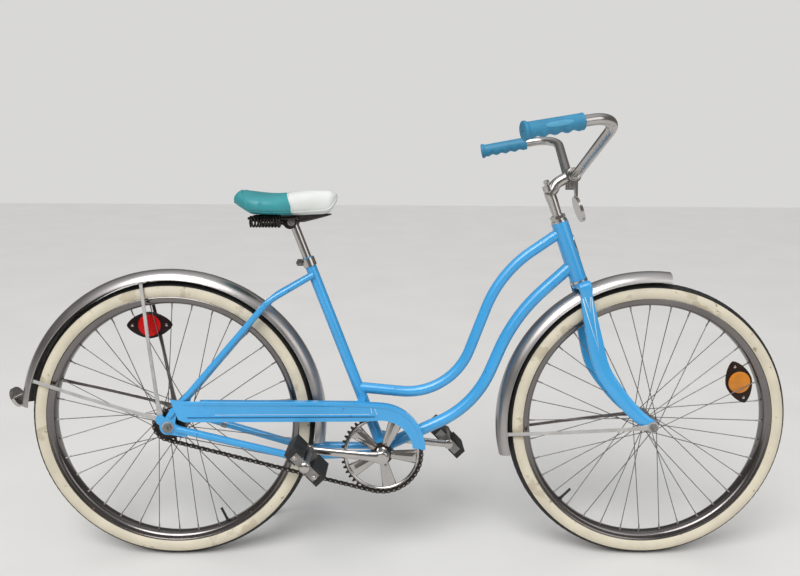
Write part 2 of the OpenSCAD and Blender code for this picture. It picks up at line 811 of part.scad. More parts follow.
module fork() {
  color("deepskyblue") difference() {
    union() {
      rod(fork_top - head_up * 4, on_head(head_top_z) + head_up * 18, 12.7);
      rod(fork_top - head_up * 8.5, fork_top, head_r - 1);
      translate(fork_top - head_up * 8.5) rotate([0, head_angle - 90, 0])
        translate([-13, -40, 0]) cube([26, 80, 7.5]);
      for (s = [-1, 1]) {
        blade(s);
        across(front_c, min(s * 50, s * 55), max(s * 50, s * 55), 13);
      }
    }
    rod(on_head(head_low_z + 33), on_head(head_top_z) + head_up * 40, 11.2);
    across(front_c, -far, far, front_axle_r + 0.2);
    turned(front_c) difference() {
      translate([0, -29.5]) square([fender_r + weld, 59]);
    }
    turned(front_c) difference() {
      translate([0, -50]) square([40, 100]);
    }
  }
}

module front_axle() {
  color("silver") union() {
    across(front_c, -70, 70, front_axle_r);
    for (s = [-1, 1])
      translate([wheelbase, s > 0 ? 57.1 : -64.1, axle_z]) rotate([-90, 0, 0]) cylinder(h = 7, r = 9.5, $fn = 6);
  }
}

// Stem and handlebar
quill_top = on_head(head_top_z + 76);
bar_c = [quill_top.x + 52.5, 0, clamp_z];
module stem() {
  color("silver") difference() {
    union() {
      rod(on_head(head_low_z + 33), quill_top, 11.05);
      rod(quill_top - head_up * 6, quill_top + head_up * 8, 13);
      rod(quill_top + unit(bar_c - quill_top) * 2, bar_c, 10.5, 12);
      across(bar_c, -19, 19, 17.5);
      rod(quill_top, quill_top + head_up * 14, 6);
      translate(bar_c + [-4, 0, -24]) cube([14, 26, 18], center = true);
    }
    across(bar_c, -far, far, 12.75);
  }
}

bar_corner = bar_c + [0, 40, 0];
bar_bend = [bar_c.x + 24, bar_half - 32, clamp_z + 106];
bar_end = [bar_c.x - 165, bar_half, grip_z];
module handlebar() {
  color("silver") union() {
    bent([side(bar_end, -1), side(bar_bend, -1), side(bar_corner, -1), bar_corner, bar_bend, bar_end],
         [0, 62, 45, 45, 62, 0], bar_r);
    across(bar_c, -24, 24, 12.7);
  }
}

grip_len = 112;
module grip(s) {
  e = side(bar_end, s);
  d = unit(side(bar_bend, s) - e);
  color("royalblue") difference() {
    union() {
      rod(e - d * 2, e + d * grip_len, grip_r);
      rod(e - d * 6, e + d * 3, grip_r + 4);
      rod(e + d * (grip_len - 3), e + d * (grip_len + 3), grip_r + 3.5);
    }
    rod(e - d * 0.05, e + d * 200, bar_r + weld);
    for (k = [0 : 3]) translate(e + d * (22 + k * 24) - [0, 0, grip_r + 8]) rotate([90, 0, 0])
      cylinder(h = 80, r = 11, center = true);
  }
}

module grips() {
  for (s = [-1, 1]) grip(s);
}

// Front reflector hanging from the bar clamp
front_ref_c = bar_c + [15, 0, -78];
front_ref_n = unit([0.94, 0, 0.34]);
module front_reflector_bracket() {
  color("gainsboro") difference() {
    union() {
      aim(front_ref_c, front_ref_n) cylinder(h = 7, r = 31);
      translate(bar_c) slab(-7, 7) polygon([[6, -13], [13, -15], [14, -59], [9, -59]]);
    }
    across(bar_c, -far, far, 17.55);
    aim(front_ref_c + front_ref_n * 4, front_ref_n) cylinder(h = 8, r = 28);
  }
}

module front_reflector_lens() {
  color("white") aim(front_ref_c + front_ref_n * 4.05, front_ref_n) cylinder(h = 4, r = 27.9);
}

// Wheels
module tyre(c) {
  color("#1b1b1b") turned(c) difference() {
    translate([tyre_mid, 0]) circle(r = section_r);
    translate([tyre_mid, 0]) circle(r = section_r - 4);
    translate([0, -50]) square([tyre_mid - 16.5, 100]);
  }
}

module whitewall(c) {
  a0 = asin((band_in - tyre_mid) / section_r);
  a1 = asin((band_out - tyre_mid) / section_r);
  color("cornsilk") turned(c) for (s = [-1, 1]) intersection() {
    translate([tyre_mid, 0]) difference() {
      circle(r = section_r + 0.8);
      circle(r = section_r + 0.15);
    }
    translate([tyre_mid, 0])
      polygon([[0, 0], [60 * sin(a0), s * 60 * cos(a0)], [60 * sin(a1), s * 60 * cos(a1)]]);
  }
}

module rim(c) {
  color("lightgray") turned(c) polygon([
    [rim_r, -17.4], [rim_r, -15.6], [rim_r - 12, -14], [rim_r - 18, -6], [rim_r - 18, 6], [rim_r - 12, 14],
    [rim_r, 15.6], [rim_r, 17.4], [rim_r - 13, 16.2], [rim_r - 21.5, 7], [rim_r - 21.5, -7], [rim_r - 13, -16.2]]);
}

module front_hub() {
  color("silver") turned(front_c) difference() {
    union() {
      translate([0, -49.6]) square([8.5, 99.2]);
      translate([0, -32]) square([13, 64]);
      for (s = [-1, 1]) translate([0, s * 32 - 1.5]) square([21, 3]);
    }
    translate([-1, -60]) square([front_axle_r + 1.3, 120]);
  }
}

module rear_hub() {
  color("silver") turned(rear_c) difference() {
    union() {
      translate([0, -48.8]) square([18, 78]);
      translate([0, -30]) square([25, 60]);
      for (s = [-1, 1]) translate([0, s * 30 - 1.5]) square([33, 3]);
      translate([0, 20]) square([20, 20.8]);
    }
    translate([-1, -60]) square([rear_axle_r + 1.35, 120]);
  }
}

module spokes(c, hole_r, flange_y) {
  color("gray") for (s = [-1, 1], i = [0 : spoke_count / 2 - 1]) {
    lead = i % 2 == 0 ? 1 : -1;
    a = i * 720 / spoke_count + (s > 0 ? 360 / spoke_count : 0);
    b = a + lead * 60;
    hole_y = flange_y + (lead > 0 ? 2.9 + spoke_r : -1.55 - spoke_r);
    rod(polar(c, hole_r, a, s * hole_y), polar(c, rim_r - 21.75, b, s * 3), spoke_r, $fn = 16);
  }
}

module front_spokes() { spokes(front_c, 18.5, 32); }

module rear_spokes() { spokes(rear_c, 30, 30); }

module valve(c, a) {
  color("#1b1b1b") translate(c) rotate([0, -a, 0]) translate([rim_r - 48, 0, 0])
    rotate([0, 90, 0]) cylinder(h = 26.3, r = 3);
}

// Spoke reflector: a flat winged body between the spokes with a round lens on each face
module spoke_reflector_body(c, a, tint) {
  color(tint) translate(c) rotate([0, -a, 0]) translate([rim_r - 59, 0, 0]) rotate([90, 0, 0])
    linear_extrude(height = 4.4, center = true)
      polygon([[-14, -50], [14, -50], [22, -24], [30, 0], [22, 24], [14, 50], [-14, 50], [-25, 24], [-30, 0], [-25, -24]]);
}

module spoke_reflector_lens(c, a, tint) {
  color(tint) for (s = [-1, 1]) translate(c) rotate([0, -a, 0]) translate([rim_r - 60, s > 0 ? 2.25 : -3.35, 0])
    rotate([-90, 0, 0]) cylinder(h = 1.1, r = 24);
}

module front_spoke_reflector() { spoke_reflector_body(front_c, 23, "orange"); }

module front_spoke_lens() { spoke_reflector_lens(front_c, 23, "gold"); }

module rear_spoke_reflector() { spoke_reflector_body(rear_c, 103, "firebrick"); }

module rear_spoke_lens() { spoke_reflector_lens(rear_c, 103, "red"); }

module front_tyre() {
  tyre(front_c);
  valve(front_c, -135);
}

module rear_tyre() {
  tyre(rear_c);
  valve(rear_c, -65);
}

module front_whitewall() { whitewall(front_c); }

module rear_whitewall() { whitewall(rear_c); }

module front_rim() { rim(front_c); }

module rear_rim() { rim(rear_c); }

parked() head_tube();
parked() top_tube();
parked() down_tube();
parked() seat_tube();
parked() bottom_bracket_shell();
parked() bracket_cups();
parked() left_seat_stay();
parked() right_seat_stay();
parked() seat_stay_bridge();
parked() left_chain_stay();
parked() right_chain_stay();
parked() rear_dropouts();
parked() rear_axle();
parked() seat_post();
parked() seat_clamp();
parked() rear_fender();
parked() rear_fender_stays();
parked() rear_reflector_body();
parked() rear_reflector_lens();
parked() chain_guard();
parked() chain();
parked() brake_arm();
parked() kickstand_housing();
parked() saddle_back_cover();
parked() saddle_nose_cover();
parked() saddle_chassis();
parked() headset_cups();
parked() fork();
parked() front_axle();
parked() front_fender();
parked() front_fender_stays();
parked() headset_nut();
parked() stem();
parked() handlebar();
parked() grips();
parked() front_reflector_bracket();
parked() front_reflector_lens();
parked() front_tyre();
parked() front_whitewall();
parked() front_rim();
parked() front_hub();
parked() front_spokes();
parked() front_spoke_reflector();
parked() front_spoke_lens();
parked() rear_tyre();
parked() rear_whitewall();
parked() rear_rim();
parked() rear_hub();
parked() rear_spokes();
parked() rear_spoke_reflector();
parked() rear_spoke_lens();
parked() rear_sprocket();
parked() crank();
parked() chainring();
parked() left_pedal_cage();
parked() right_pedal_cage();
parked() left_pedal_rubbers();
parked() right_pedal_rubbers();
parked() kickstand();
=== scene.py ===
"""Step-through cruiser bicycle: finishes, saddle covers, tread, chain links and small hardware."""

import json
from math import acos, atan2, copysign, cos, exp, hypot, pi, radians, sin, sqrt, tan

import bmesh
import bpy
from mathutils import Matrix, Vector


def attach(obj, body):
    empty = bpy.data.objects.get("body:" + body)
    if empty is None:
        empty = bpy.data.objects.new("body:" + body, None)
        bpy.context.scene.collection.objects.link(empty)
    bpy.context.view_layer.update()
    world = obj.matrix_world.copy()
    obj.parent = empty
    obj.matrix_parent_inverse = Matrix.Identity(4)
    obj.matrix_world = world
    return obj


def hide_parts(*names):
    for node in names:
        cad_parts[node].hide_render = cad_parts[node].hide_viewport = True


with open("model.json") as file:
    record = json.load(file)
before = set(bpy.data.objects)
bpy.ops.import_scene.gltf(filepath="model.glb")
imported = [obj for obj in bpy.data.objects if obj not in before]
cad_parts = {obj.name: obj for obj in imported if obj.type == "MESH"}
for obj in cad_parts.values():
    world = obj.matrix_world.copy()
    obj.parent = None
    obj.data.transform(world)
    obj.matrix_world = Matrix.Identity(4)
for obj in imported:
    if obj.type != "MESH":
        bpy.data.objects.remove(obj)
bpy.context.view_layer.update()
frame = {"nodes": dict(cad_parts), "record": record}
nodes = frame["nodes"]

# Sizes shared with the solids, millimetres, bicycle upright with the rear axle over x = 0
LEAN = radians(6)
WHEELBASE = 1118.0
TYRE_R = 330.0
SECTION_R = 22.0
TYRE_MID = TYRE_R - SECTION_R
RIM_R = TYRE_MID - 16
GRIP_Z = 979.0
TAIL_REACH = 372.0
MID_X = (WHEELBASE + TYRE_R - TAIL_REACH) / 2
MID_Y = GRIP_Z * sin(LEAN)
LIFT = SECTION_R * (1 - cos(LEAN))
CRANK = Vector((490.0, 0.0, 262.0))
REAR = Vector((0.0, 0.0, TYRE_R))
FRONT = Vector((WHEELBASE, 0.0, TYRE_R))
WHEELS = (("front", FRONT), ("rear", REAR))
CRANK_TURN = 173.7
CRANK_LEN = 165.0
CHAIN_Y = -44.0
SEAT_ANGLE = radians(69)
SEAT_UP = Vector((-cos(SEAT_ANGLE), 0, sin(SEAT_ANGLE)))
HEAD_ANGLE = radians(70)
HEAD_UP = Vector((-cos(HEAD_ANGLE), 0, sin(HEAD_ANGLE)))
HEAD_FORE = Vector((sin(HEAD_ANGLE), 0, cos(HEAD_ANGLE)))
FORK_OFFSET = 46.8
STEER_FOOT = FRONT - FORK_OFFSET * HEAD_FORE
BAR_MID = Vector((922.0, 0.0, 907.0))
BAR_CORNER = Vector((922.0, 40.0, 907.0))
BAR_BEND = Vector((946.0, 270.0, 1013.0))
BAR_END = Vector((757.0, 302.0, GRIP_Z))
METRES = 0.001
PARK = (
    Matrix.Scale(METRES, 4)
    @ Matrix.Translation((-MID_X, -MID_Y, LIFT))
    @ Matrix.Rotation(-LEAN, 4, "X")
)
SIDES = (-1, 1)
ORIGIN = Vector((0, 0, 0))
AHEAD = Vector((1, 0, 0))
LEFT = Vector((0, 1, 0))
UP = Vector((0, 0, 1))


# Points and directions
def on_head(z):
    """Point on the steering axis at a height."""
    return STEER_FOOT + HEAD_UP * ((z - STEER_FOOT.z) / HEAD_UP.z)


def polar(centre, radius, degrees, y):
    """Point at a radius and an angle about a wheel or crank axis."""
    a = radians(degrees)
    return Vector((centre.x + radius * cos(a), y, centre.z + radius * sin(a)))


def upright(degrees):
    """Unit direction in the bicycle's middle plane."""
    return polar(ORIGIN, 1, degrees, 0)


def quarter_turn(direction):
    """The direction square to one in the middle plane."""
    return Vector((-direction.z, 0, direction.x))


def mirrored(p, side=-1):
    """The point itself, or its mirror image for side -1."""
    return Vector((p.x, side * p.y, p.z))


def circle(count):
    """Evenly spaced angles once around."""
    return [2 * pi * k / count for k in range(count)]


def bulge(value, power):
    """A signed power, for rounded and squared outlines."""
    return copysign(abs(value) ** power, value)


def spline(values, t):
    """Smooth value at t, from 0 to 1, through evenly spaced values."""
    last = len(values) - 1
    i = min(last - 1, int(t * last))
    f = t * last - i
    a = values[max(0, i - 1)]
    b = values[i]
    c = values[i + 1]
    d = values[min(last, i + 2)]
    bend = 2 * a - 5 * b + 4 * c - d
    twist = 3 * b - a - 3 * c + d
    return 0.5 * (2 * b + (c - a) * f + bend * f**2 + twist * f**3)


# Materials
GRAIN_SCALE = 400.0
COAT_ROUGH = 0.08
SOFT_SPECULAR = 0.2
CLOUD_SPAN = (0.3, 0.7)
ROUGH_SPREAD = (0.75, 1.3)
SPECK_EDGE = 0.03
MIX_SOCKETS = {"RGBA": (6, 7, 2), "FLOAT": (2, 3, 0)}


def object_texture(tree, kind, scale):
    """A texture node that follows the object's own coordinates."""
    place = tree.nodes.new("ShaderNodeTexCoord")
    texture = tree.nodes.new(kind)
    texture.inputs["Scale"].default_value = scale
    tree.links.new(place.outputs["Object"], texture.inputs["Vector"])
    return texture


def material(name, colour, metal=0.0, rough=0.5, vary=0.12, scale=40.0, bump=0.05, coat=0.0):
    """A finish with cloudy colour, uneven roughness and a fine surface grain."""
    made = bpy.data.materials.new(name)
    made.use_nodes = True
    tree = made.node_tree
    shader = tree.nodes["Principled BSDF"]
    cloud = object_texture(tree, "ShaderNodeTexNoise", scale)
    cloud.inputs["Detail"].default_value = 6
    ramp = tree.nodes.new("ShaderNodeValToRGB")
    stops = ramp.color_ramp.elements
    stops[0].position, stops[1].position = CLOUD_SPAN
    stops[0].color = (*[c * (1 - vary) for c in colour], 1)
    stops[1].color = (*[min(1, c * (1 + vary)) for c in colour], 1)
    tree.links.new(cloud.outputs["Fac"], ramp.inputs["Fac"])
    tree.links.new(ramp.outputs["Color"], shader.inputs["Base Color"])
    span = tree.nodes.new("ShaderNodeMapRange")
    span.inputs["To Min"].default_value = rough * ROUGH_SPREAD[0]
    span.inputs["To Max"].default_value = min(1, rough * ROUGH_SPREAD[1])
    tree.links.new(cloud.outputs["Fac"], span.inputs["Value"])
    tree.links.new(span.outputs["Result"], shader.inputs["Roughness"])
    fine = object_texture(tree, "ShaderNodeTexNoise", GRAIN_SCALE)
    fine.inputs["Detail"].default_value = 3
    relief = tree.nodes.new("ShaderNodeBump")
    relief.inputs["Strength"].default_value = bump
    relief.inputs["Distance"].default_value = 0.001
    tree.links.new(fine.outputs["Fac"], relief.inputs["Height"])
    tree.links.new(relief.outputs["Normal"], shader.inputs["Normal"])
    shader.inputs["Metallic"].default_value = metal
    shader.inputs["Coat Weight"].default_value = coat
    shader.inputs["Coat Roughness"].default_value = COAT_ROUGH
    return made


def add_specks(finish, colour, scale, reach, rough):
    """Small scattered marks, such as chips or rust pits, over a finish."""
    tree = finish.node_tree
    shader = tree.nodes["Principled BSDF"]
    marks = object_texture(tree, "ShaderNodeTexNoise", scale)
    marks.inputs["Detail"].default_value = 8
    cut = tree.nodes.new("ShaderNodeMapRange")
    cut.inputs["From Min"].default_value = reach
    cut.inputs["From Max"].default_value = reach + SPECK_EDGE
    tree.links.new(marks.outputs["Fac"], cut.inputs["Value"])
    for socket, kind, value in (("Base Color", "RGBA", (*colour, 1)), ("Roughness", "FLOAT", rough)):
        plain = shader.inputs[socket].links[0].from_socket
        mix = tree.nodes.new("ShaderNodeMix")
        mix.data_type = kind
        first, second, result = MIX_SOCKETS[kind]
        mix.inputs[second].default_value = value
        tree.links.new(cut.outputs["Result"], mix.inputs[0])
        tree.links.new(plain, mix.inputs[first])
        tree.links.new(mix.outputs[result], shader.inputs[socket])


def add_cells(finish, scale, strength, depth):
    """Cell relief, for grained vinyl and faceted lenses."""
    tree = finish.node_tree
    shader = tree.nodes["Principled BSDF"]
    cells = object_texture(tree, "ShaderNodeTexVoronoi", scale)
    relief = tree.nodes.new("ShaderNodeBump")
    relief.inputs["Strength"].default_value = strength
    relief.inputs["Distance"].default_value = depth
    tree.links.new(cells.outputs["Distance"], relief.inputs["Height"])
    tree.links.new(shader.inputs["Normal"].links[0].from_socket, relief.inputs["Normal"])
    tree.links.new(relief.outputs["Normal"], shader.inputs["Normal"])


MATS = {
    "sky_paint": material(
        "sky_enamel", (0.045, 0.345, 0.70), rough=0.26, vary=0.07, scale=9, bump=0.03, coat=0.6
    ),
    "chrome": material(
        "worn_chrome", (0.50, 0.48, 0.46), metal=1, rough=0.19, vary=0.10, scale=14, bump=0.02
    ),
    "rim_chrome": material(
        "dull_chrome", (0.20, 0.185, 0.18), metal=1, rough=0.2, vary=0.12, scale=12, bump=0.03
    ),
    "fender_chrome": material(
        "aged_chrome", (0.46, 0.44, 0.43), metal=1, rough=0.31, vary=0.1, scale=8, bump=0.015
    ),
    "plated_steel": material(
        "zinc_plate", (0.30, 0.29, 0.28), metal=0.9, rough=0.42, vary=0.25, scale=60, bump=0.1
    ),
    "strap_steel": material(
        "pale_zinc", (0.52, 0.51, 0.49), metal=0.55, rough=0.42, vary=0.15, scale=30, bump=0.06
    ),
    # painted shade: dark zinc for the inner faces of the fender straps
    "strap_painted_shade": material(
        "painted_shade_zinc", (0.10, 0.085, 0.078), metal=0.3, rough=0.6, vary=0.3, scale=40
    ),
    # near-black steel: oily on the chain, and painted shade on the chainring's teeth
    "dark_steel": material(
        "oily_steel_and_painted_shade", (0.035, 0.028, 0.024), metal=0.7, rough=0.45, vary=0.4, scale=70, bump=0.2
    ),
    "spoke_steel": material(
        "grey_spoke", (0.20, 0.19, 0.18), metal=0.85, rough=0.4, vary=0.3, scale=50, bump=0.05
    ),
    "red_lens": material("red_lens", (0.47, 0.003, 0.003), rough=0.3, vary=0.2, coat=0.1),
    "red_plastic": material("dark_red_body", (0.012, 0.005, 0.005), rough=0.3, vary=0.15),
    "amber_lens": material("amber_lens", (0.58, 0.195, 0.008), rough=0.3, vary=0.2, coat=0.3),
    "amber_plastic": material("dark_amber_body", (0.02, 0.010, 0.006), rough=0.3, vary=0.15),
    "clear_lens": material("clear_lens", (0.74, 0.75, 0.76), rough=0.12, vary=0.06, coat=0.5),
    "teal_vinyl": material(
        "teal_vinyl", (0.035, 0.285, 0.31), rough=0.42, vary=0.12, scale=14, bump=0.12
    ),
    "white_vinyl": material(
        "white_vinyl", (0.74, 0.76, 0.73), rough=0.40, vary=0.06, scale=14, bump=0.12
    ),
    "blue_rubber": material(
        "blue_rubber", (0.030, 0.225, 0.39), rough=0.5, vary=0.15, scale=30, bump=0.15
    ),
    "pale_rubber": material(
        "pale_blue_rubber", (0.075, 0.32, 0.50), rough=0.45, vary=0.1, scale=30, bump=0.1
    ),
    "black_rubber": material(
        "black_rubber", (0.018, 0.017, 0.016), rough=0.65, vary=0.4, scale=50, bump=0.3
    ),
    "tyre": material(
        "tyre_rubber", (0.016, 0.016, 0.016), rough=0.7, vary=0.4, scale=40, bump=0.35
    ),
    "cream_band": material(
        "cream_rubber", (0.63, 0.575, 0.45), rough=0.55, vary=0.08, scale=16, bump=0.12
    ),
    # painted shadow: dark enamel for the line under the guard's ridge
    "shadow_line_paint": material("painted_shadow_enamel", (0.010, 0.10, 0.24), rough=0.5, vary=0.2, scale=30),
    "dart_paint": material("pale_dart", (0.55, 0.68, 0.72), rough=0.35, vary=0.1, scale=60),
}

# Marks on a finish: colour, scale, how rare they are and their roughness
SPECKS = (
    ("sky_paint", (0.03, 0.10, 0.20), 55, 0.70, 0.55),
    ("chrome", (0.20, 0.13, 0.08), 120, 0.69, 0.6),
    ("rim_chrome", (0.16, 0.10, 0.06), 90, 0.68, 0.65),
    ("cream_band", (0.33, 0.27, 0.18), 60, 0.66, 0.7),
    ("cream_band", (0.50, 0.44, 0.33), 11, 0.60, 0.6),
)
# Relief of the vinyl and the lenses: scale, strength and depth in metres
VINYL_GRAIN = (420, 0.35, 0.0006)
LENS_FACETS = (420, 0.25, 0.001)

for dull in ("red_lens", "red_plastic", "amber_plastic"):
    dull_shader = MATS[dull].node_tree.nodes["Principled BSDF"]
    dull_shader.inputs["Specular IOR Level"].default_value = SOFT_SPECULAR
for marked, *marks_look in SPECKS:
    add_specks(MATS[marked], *marks_look)
for vinyl in ("teal_vinyl", "white_vinyl"):
    add_cells(MATS[vinyl], *VINYL_GRAIN)
for lens in ("red_lens", "amber_lens", "clear_lens"):
    add_cells(MATS[lens], *LENS_FACETS)

# Solids whose look differs from their slot, by the end of their name
# The chainring's near-black steel also paints the shade its teeth lie in
OTHER_LOOKS = {"chainring": "dark_steel", "_fender": "fender_chrome", "_spokes": "spoke_steel"}


def look_of(part):
    for ending, look in OTHER_LOOKS.items():
        if part["node"].endswith(ending):
            return look
    return part["material_slot"]


for subpart in frame["record"]["subparts"]:
    solid_mesh = nodes[subpart["node"]].data
    solid_mesh.materials.clear()
    solid_mesh.materials.append(MATS[look_of(subpart)])

# Mesh building
SHARP_ANGLE = radians(38)
MERGE = 0.01


def piece(name, bm, mat, body, smooth=True, replaced=(), slot=None):
    """Parks a mesh on its body; the slot argument is not used."""
    bmesh.ops.transform(bm, matrix=PARK, verts=bm.verts)
    bmesh.ops.recalc_face_normals(bm, faces=bm.faces)
    mesh = bpy.data.meshes.new(name)
    bm.to_mesh(mesh)
    bm.free()
    for face in mesh.polygons:
        face.use_smooth = smooth
    if smooth:
        mesh.set_sharp_from_angle(angle=SHARP_ANGLE)
    mesh.materials.append(MATS[mat])
    obj = bpy.data.objects.new(name, mesh)
    bpy.context.scene.collection.objects.link(obj)
    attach(obj, body)
    if replaced:
        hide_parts(*replaced)
    slot = slot or mat
    return obj


def loft(bm, rings, caps=True):
    """Joins closed rings of points into a skin."""
    made = [[bm.verts.new(p) for p in ring] for ring in rings]
    for near, far in zip(made, made[1:]):
        count = len(near)
        for k in range(count):
            after = (k + 1) % count
            bm.faces.new((near[k], near[after], far[after], far[k]))
    if caps:
        bm.faces.new(list(reversed(made[0])))
        bm.faces.new(made[-1])
    return made


def basis(direction):
    """A unit direction and two more that are square to it."""
    d = direction.normalized()
    u = d.cross(UP)
    if u.length < 1e-4:
        u = Vector(AHEAD)
    u.normalize()
    return d, u, d.cross(u).normalized()


def round_ring(centre, u, v, radius, sides):
    return [centre + radius * (cos(a) * u + sin(a) * v) for a in circle(sides)]


def heading(line, i):
    """Direction of a line of points at its point i."""
    return line[min(i + 1, len(line) - 1)] - line[max(i - 1, 0)]


def tube(bm, line, radius, sides=10):
    """A round cord along points."""
    rings = []
    for i, p in enumerate(line):
        _, u, v = basis(heading(line, i))
        rings.append(round_ring(p, u, v, radius, sides))
    loft(bm, rings)


def swept(bm, line, radius, sides):
    """A smooth tube whose section turns with the line without twisting."""
    rings = []
    u = (line[1] - line[0]).normalized().cross(UP).normalized()
    for i, p in enumerate(line):
        d = heading(line, i).normalized()
        u = (u - d * u.dot(d)).normalized()
        rings.append(round_ring(p, u, d.cross(u), radius, sides))
    loft(bm, rings)


def turned(bm, start, direction, profile, sides=24):
    """A turned part: profile lists (distance along, radius)."""
    d, u, v = basis(direction)
    loft(bm, [round_ring(start + along * d, u, v, radius, sides) for along, radius in profile])


def hoop(bm, centre, profile, steps):
    """A closed ring about a wheel or crank axis: profile lists (radius, sideways)."""
    rings = []
    for k in range(steps + 1):
        rings.append([polar(centre, radius, 360 * k / steps, y) for radius, y in profile])
    loft(bm, rings, caps=False)
    bmesh.ops.remove_doubles(bm, verts=bm.verts, dist=MERGE)


def bolt(bm, seat, direction, radius, height):
    """A hexagon head with a chamfered top on a round washer."""
    washer = 0.9
    turned(bm, seat, direction, [(0, radius * 1.35), (washer, radius * 1.35)])
    head = [(0, radius), (height * 0.8, radius), (height, radius * 0.82)]
    turned(bm, seat + direction.normalized() * washer, direction, head, 6)


# Saddle covers: crowned sections from the broad back to the nose, split along a curved seam
SADDLE_BACK = 157.0
SADDLE_LEN = 229.0
SADDLE_HALF = 98.0
SADDLE_WIDEST = 0.30
SADDLE_ROUNDING = 0.34
NOSE_HALF = 27.0
SADDLE_Z = 870.0
SADDLE_DEEP = 54.0
SEAT_DIP = 7.0
NOSE_DROP = 3.0
TAIL_DROP = 20.0
NOSE_UNDERCUT = 26.0
TAIL_UNDERCUT = 27.0
BELLY = 3.5
WIDEST_LEVEL = 0.38
SPLIT = 0.56
SEAM_GAP = 0.004
SEAM_SIDE = 0.025
SEAM_BOW = 0.055
COVER_BACK = 0.024
COVER_NOSE = 0.996
COVER_STEPS = 40
COVER_SIDES = 72
EDGE = radians(-24)
WELT_R = 1.5
WELT_BACK = 0.075
WELT_FORE = 0.194
WELT_TOP = 76.0
WELT_FOOT = -24.8
WELT_STEPS = 14
PIPING_R = 1.6
PIPING_STEPS = 24
TEAL_EDGE = (0.026, SPLIT + 0.02)
WHITE_EDGE = (0.997, SPLIT + SEAM_SIDE)


def rise(u, start, end):
    """How far u has gone from start towards end, and 0 before start."""
    return max(0.0, (u - start) / (end - start))


def saddle_half(u):
    """Half the saddle's width, at a share u of its length from the back."""
    if u < SADDLE_WIDEST:
        back = (SADDLE_WIDEST - u) / SADDLE_ROUNDING
        return SADDLE_HALF * sqrt(max(0.0, 1 - back**2))
    taper = cos(pi / 2 * rise(u, SADDLE_WIDEST, 1)) ** 1.35
    return NOSE_HALF + (SADDLE_HALF - NOSE_HALF) * taper * (1 - 0.12 * u)


def saddle_point(u, a):
    """Point on the covers: u from the back to the nose, angle a around the section."""
    top = SADDLE_Z - SEAT_DIP * sin(pi * min(1, u * 1.25)) ** 2
    top -= NOSE_DROP * rise(u, 0.88, 1) ** 2 + TAIL_DROP * rise(u, 0.08, 0) ** 2
    low = SADDLE_Z - SADDLE_DEEP + NOSE_UNDERCUT * rise(u, 0.84, 1) ** 2.6
    low += TAIL_UNDERCUT * rise(u, 0.19, 0) ** 1.2 - BELLY * sin(pi * u) ** 2
    mid = low + (top - low) * WIDEST_LEVEL
    y = saddle_half(u) * bulge(cos(a), 0.75)
    if sin(a) > 0:
        z = mid + (top - mid) * sin(a) ** 0.85
    else:
        z = mid - (mid - low) * (-sin(a)) ** 0.6
    tip = rise(u, 0.925, 1)
    tuck = sqrt(max(0.0, 1 - 0.97 * tip * tip))
    core = low + (top - low) * (0.45 + 0.2 * tip)
    return Vector((SADDLE_BACK + u * SADDLE_LEN, y * tuck, core + (z - core) * tuck))


def seam_bow(a):
    """The seam lies further back over the top than down the sides."""
    return SEAM_SIDE - SEAM_BOW * max(0.0, sin(a))


def saddle_cover(name, back, front, mat, node):
    """A padded cover whose end at the split follows the seam."""
    rings = []
    for i in range(COVER_STEPS + 1):
        ease = 0.5 - 0.5 * cos(pi * i / COVER_STEPS)
        ring = []
        for a in circle(COVER_SIDES):
            start = back + (seam_bow(a) if back > SPLIT else 0)
            end = front + (seam_bow(a) if front < SPLIT else 0)
            ring.append(saddle_point(start + (end - start) * ease, a))
        rings.append(ring)
    bm = bmesh.new()
    loft(bm, rings)
    obj = piece(name, bm, mat, "frame", replaced=(node,))


def edge_piping(bm, start, end, power):
    """Piping along both lower edges, joined at start, with points closest there."""
    half = []
    for i in range(PIPING_STEPS + 1):
        half.append(saddle_point(start + (end - start) * (i / PIPING_STEPS) ** power, EDGE))
    tube(bm, list(reversed(half)) + [mirrored(p) for p in half], PIPING_R)


def saddle_welts():
    bm = bmesh.new()
    welt = []
    for k in range(WELT_STEPS + 1):
        f = k / WELT_STEPS
        turn = radians(WELT_TOP + (WELT_FOOT - WELT_TOP) * f)
        welt.append(saddle_point(WELT_BACK + (WELT_FORE - WELT_BACK) * f, turn))
    for side in SIDES:
        tube(bm, [mirrored(p, side) for p in welt], WELT_R)
    edge_piping(bm, *TEAL_EDGE, 1.6)
    piece("saddle_welts", bm, "teal_vinyl", "frame")


def saddle_piping():
    bm = bmesh.new()
    angles = [radians(-30 + 5 * k) for k in range(49)]
    tube(bm, [saddle_point(SPLIT + seam_bow(a), a) for a in angles], PIPING_R)
    edge_piping(bm, *WHITE_EDGE, 1.8)
    piece("saddle_piping", bm, "white_vinyl", "frame")


saddle_cover("saddle_back_vinyl", COVER_BACK, SPLIT - SEAM_GAP, "teal_vinyl", "saddle_back_cover")
saddle_cover("saddle_nose_vinyl", SPLIT + SEAM_GAP, COVER_NOSE, "white_vinyl", "saddle_nose_cover")
saddle_welts()
saddle_piping()

# Tyre tread: rows of low slanted blocks over the crown, angles in degrees
TREAD_ROWS = (-36, -18, 0, 18, 36)
TREAD_COUNT = 110
TREAD_PITCH = 360 / TREAD_COUNT
TREAD_FILL = 0.62
TREAD_HALF = 6.5
TREAD_SKEW = 0.35 / 36
TREAD_HEIGHTS = (SECTION_R - 0.5, SECTION_R + 0.8)


def tread_ring(centre, corners, height, skew):
    ring = []
    for along, tilt in corners:
        lean = radians(tilt)
        reach = TYRE_MID + height * cos(lean)
        ring.append(polar(centre, reach, along + skew * tilt, height * sin(lean)))
    return ring


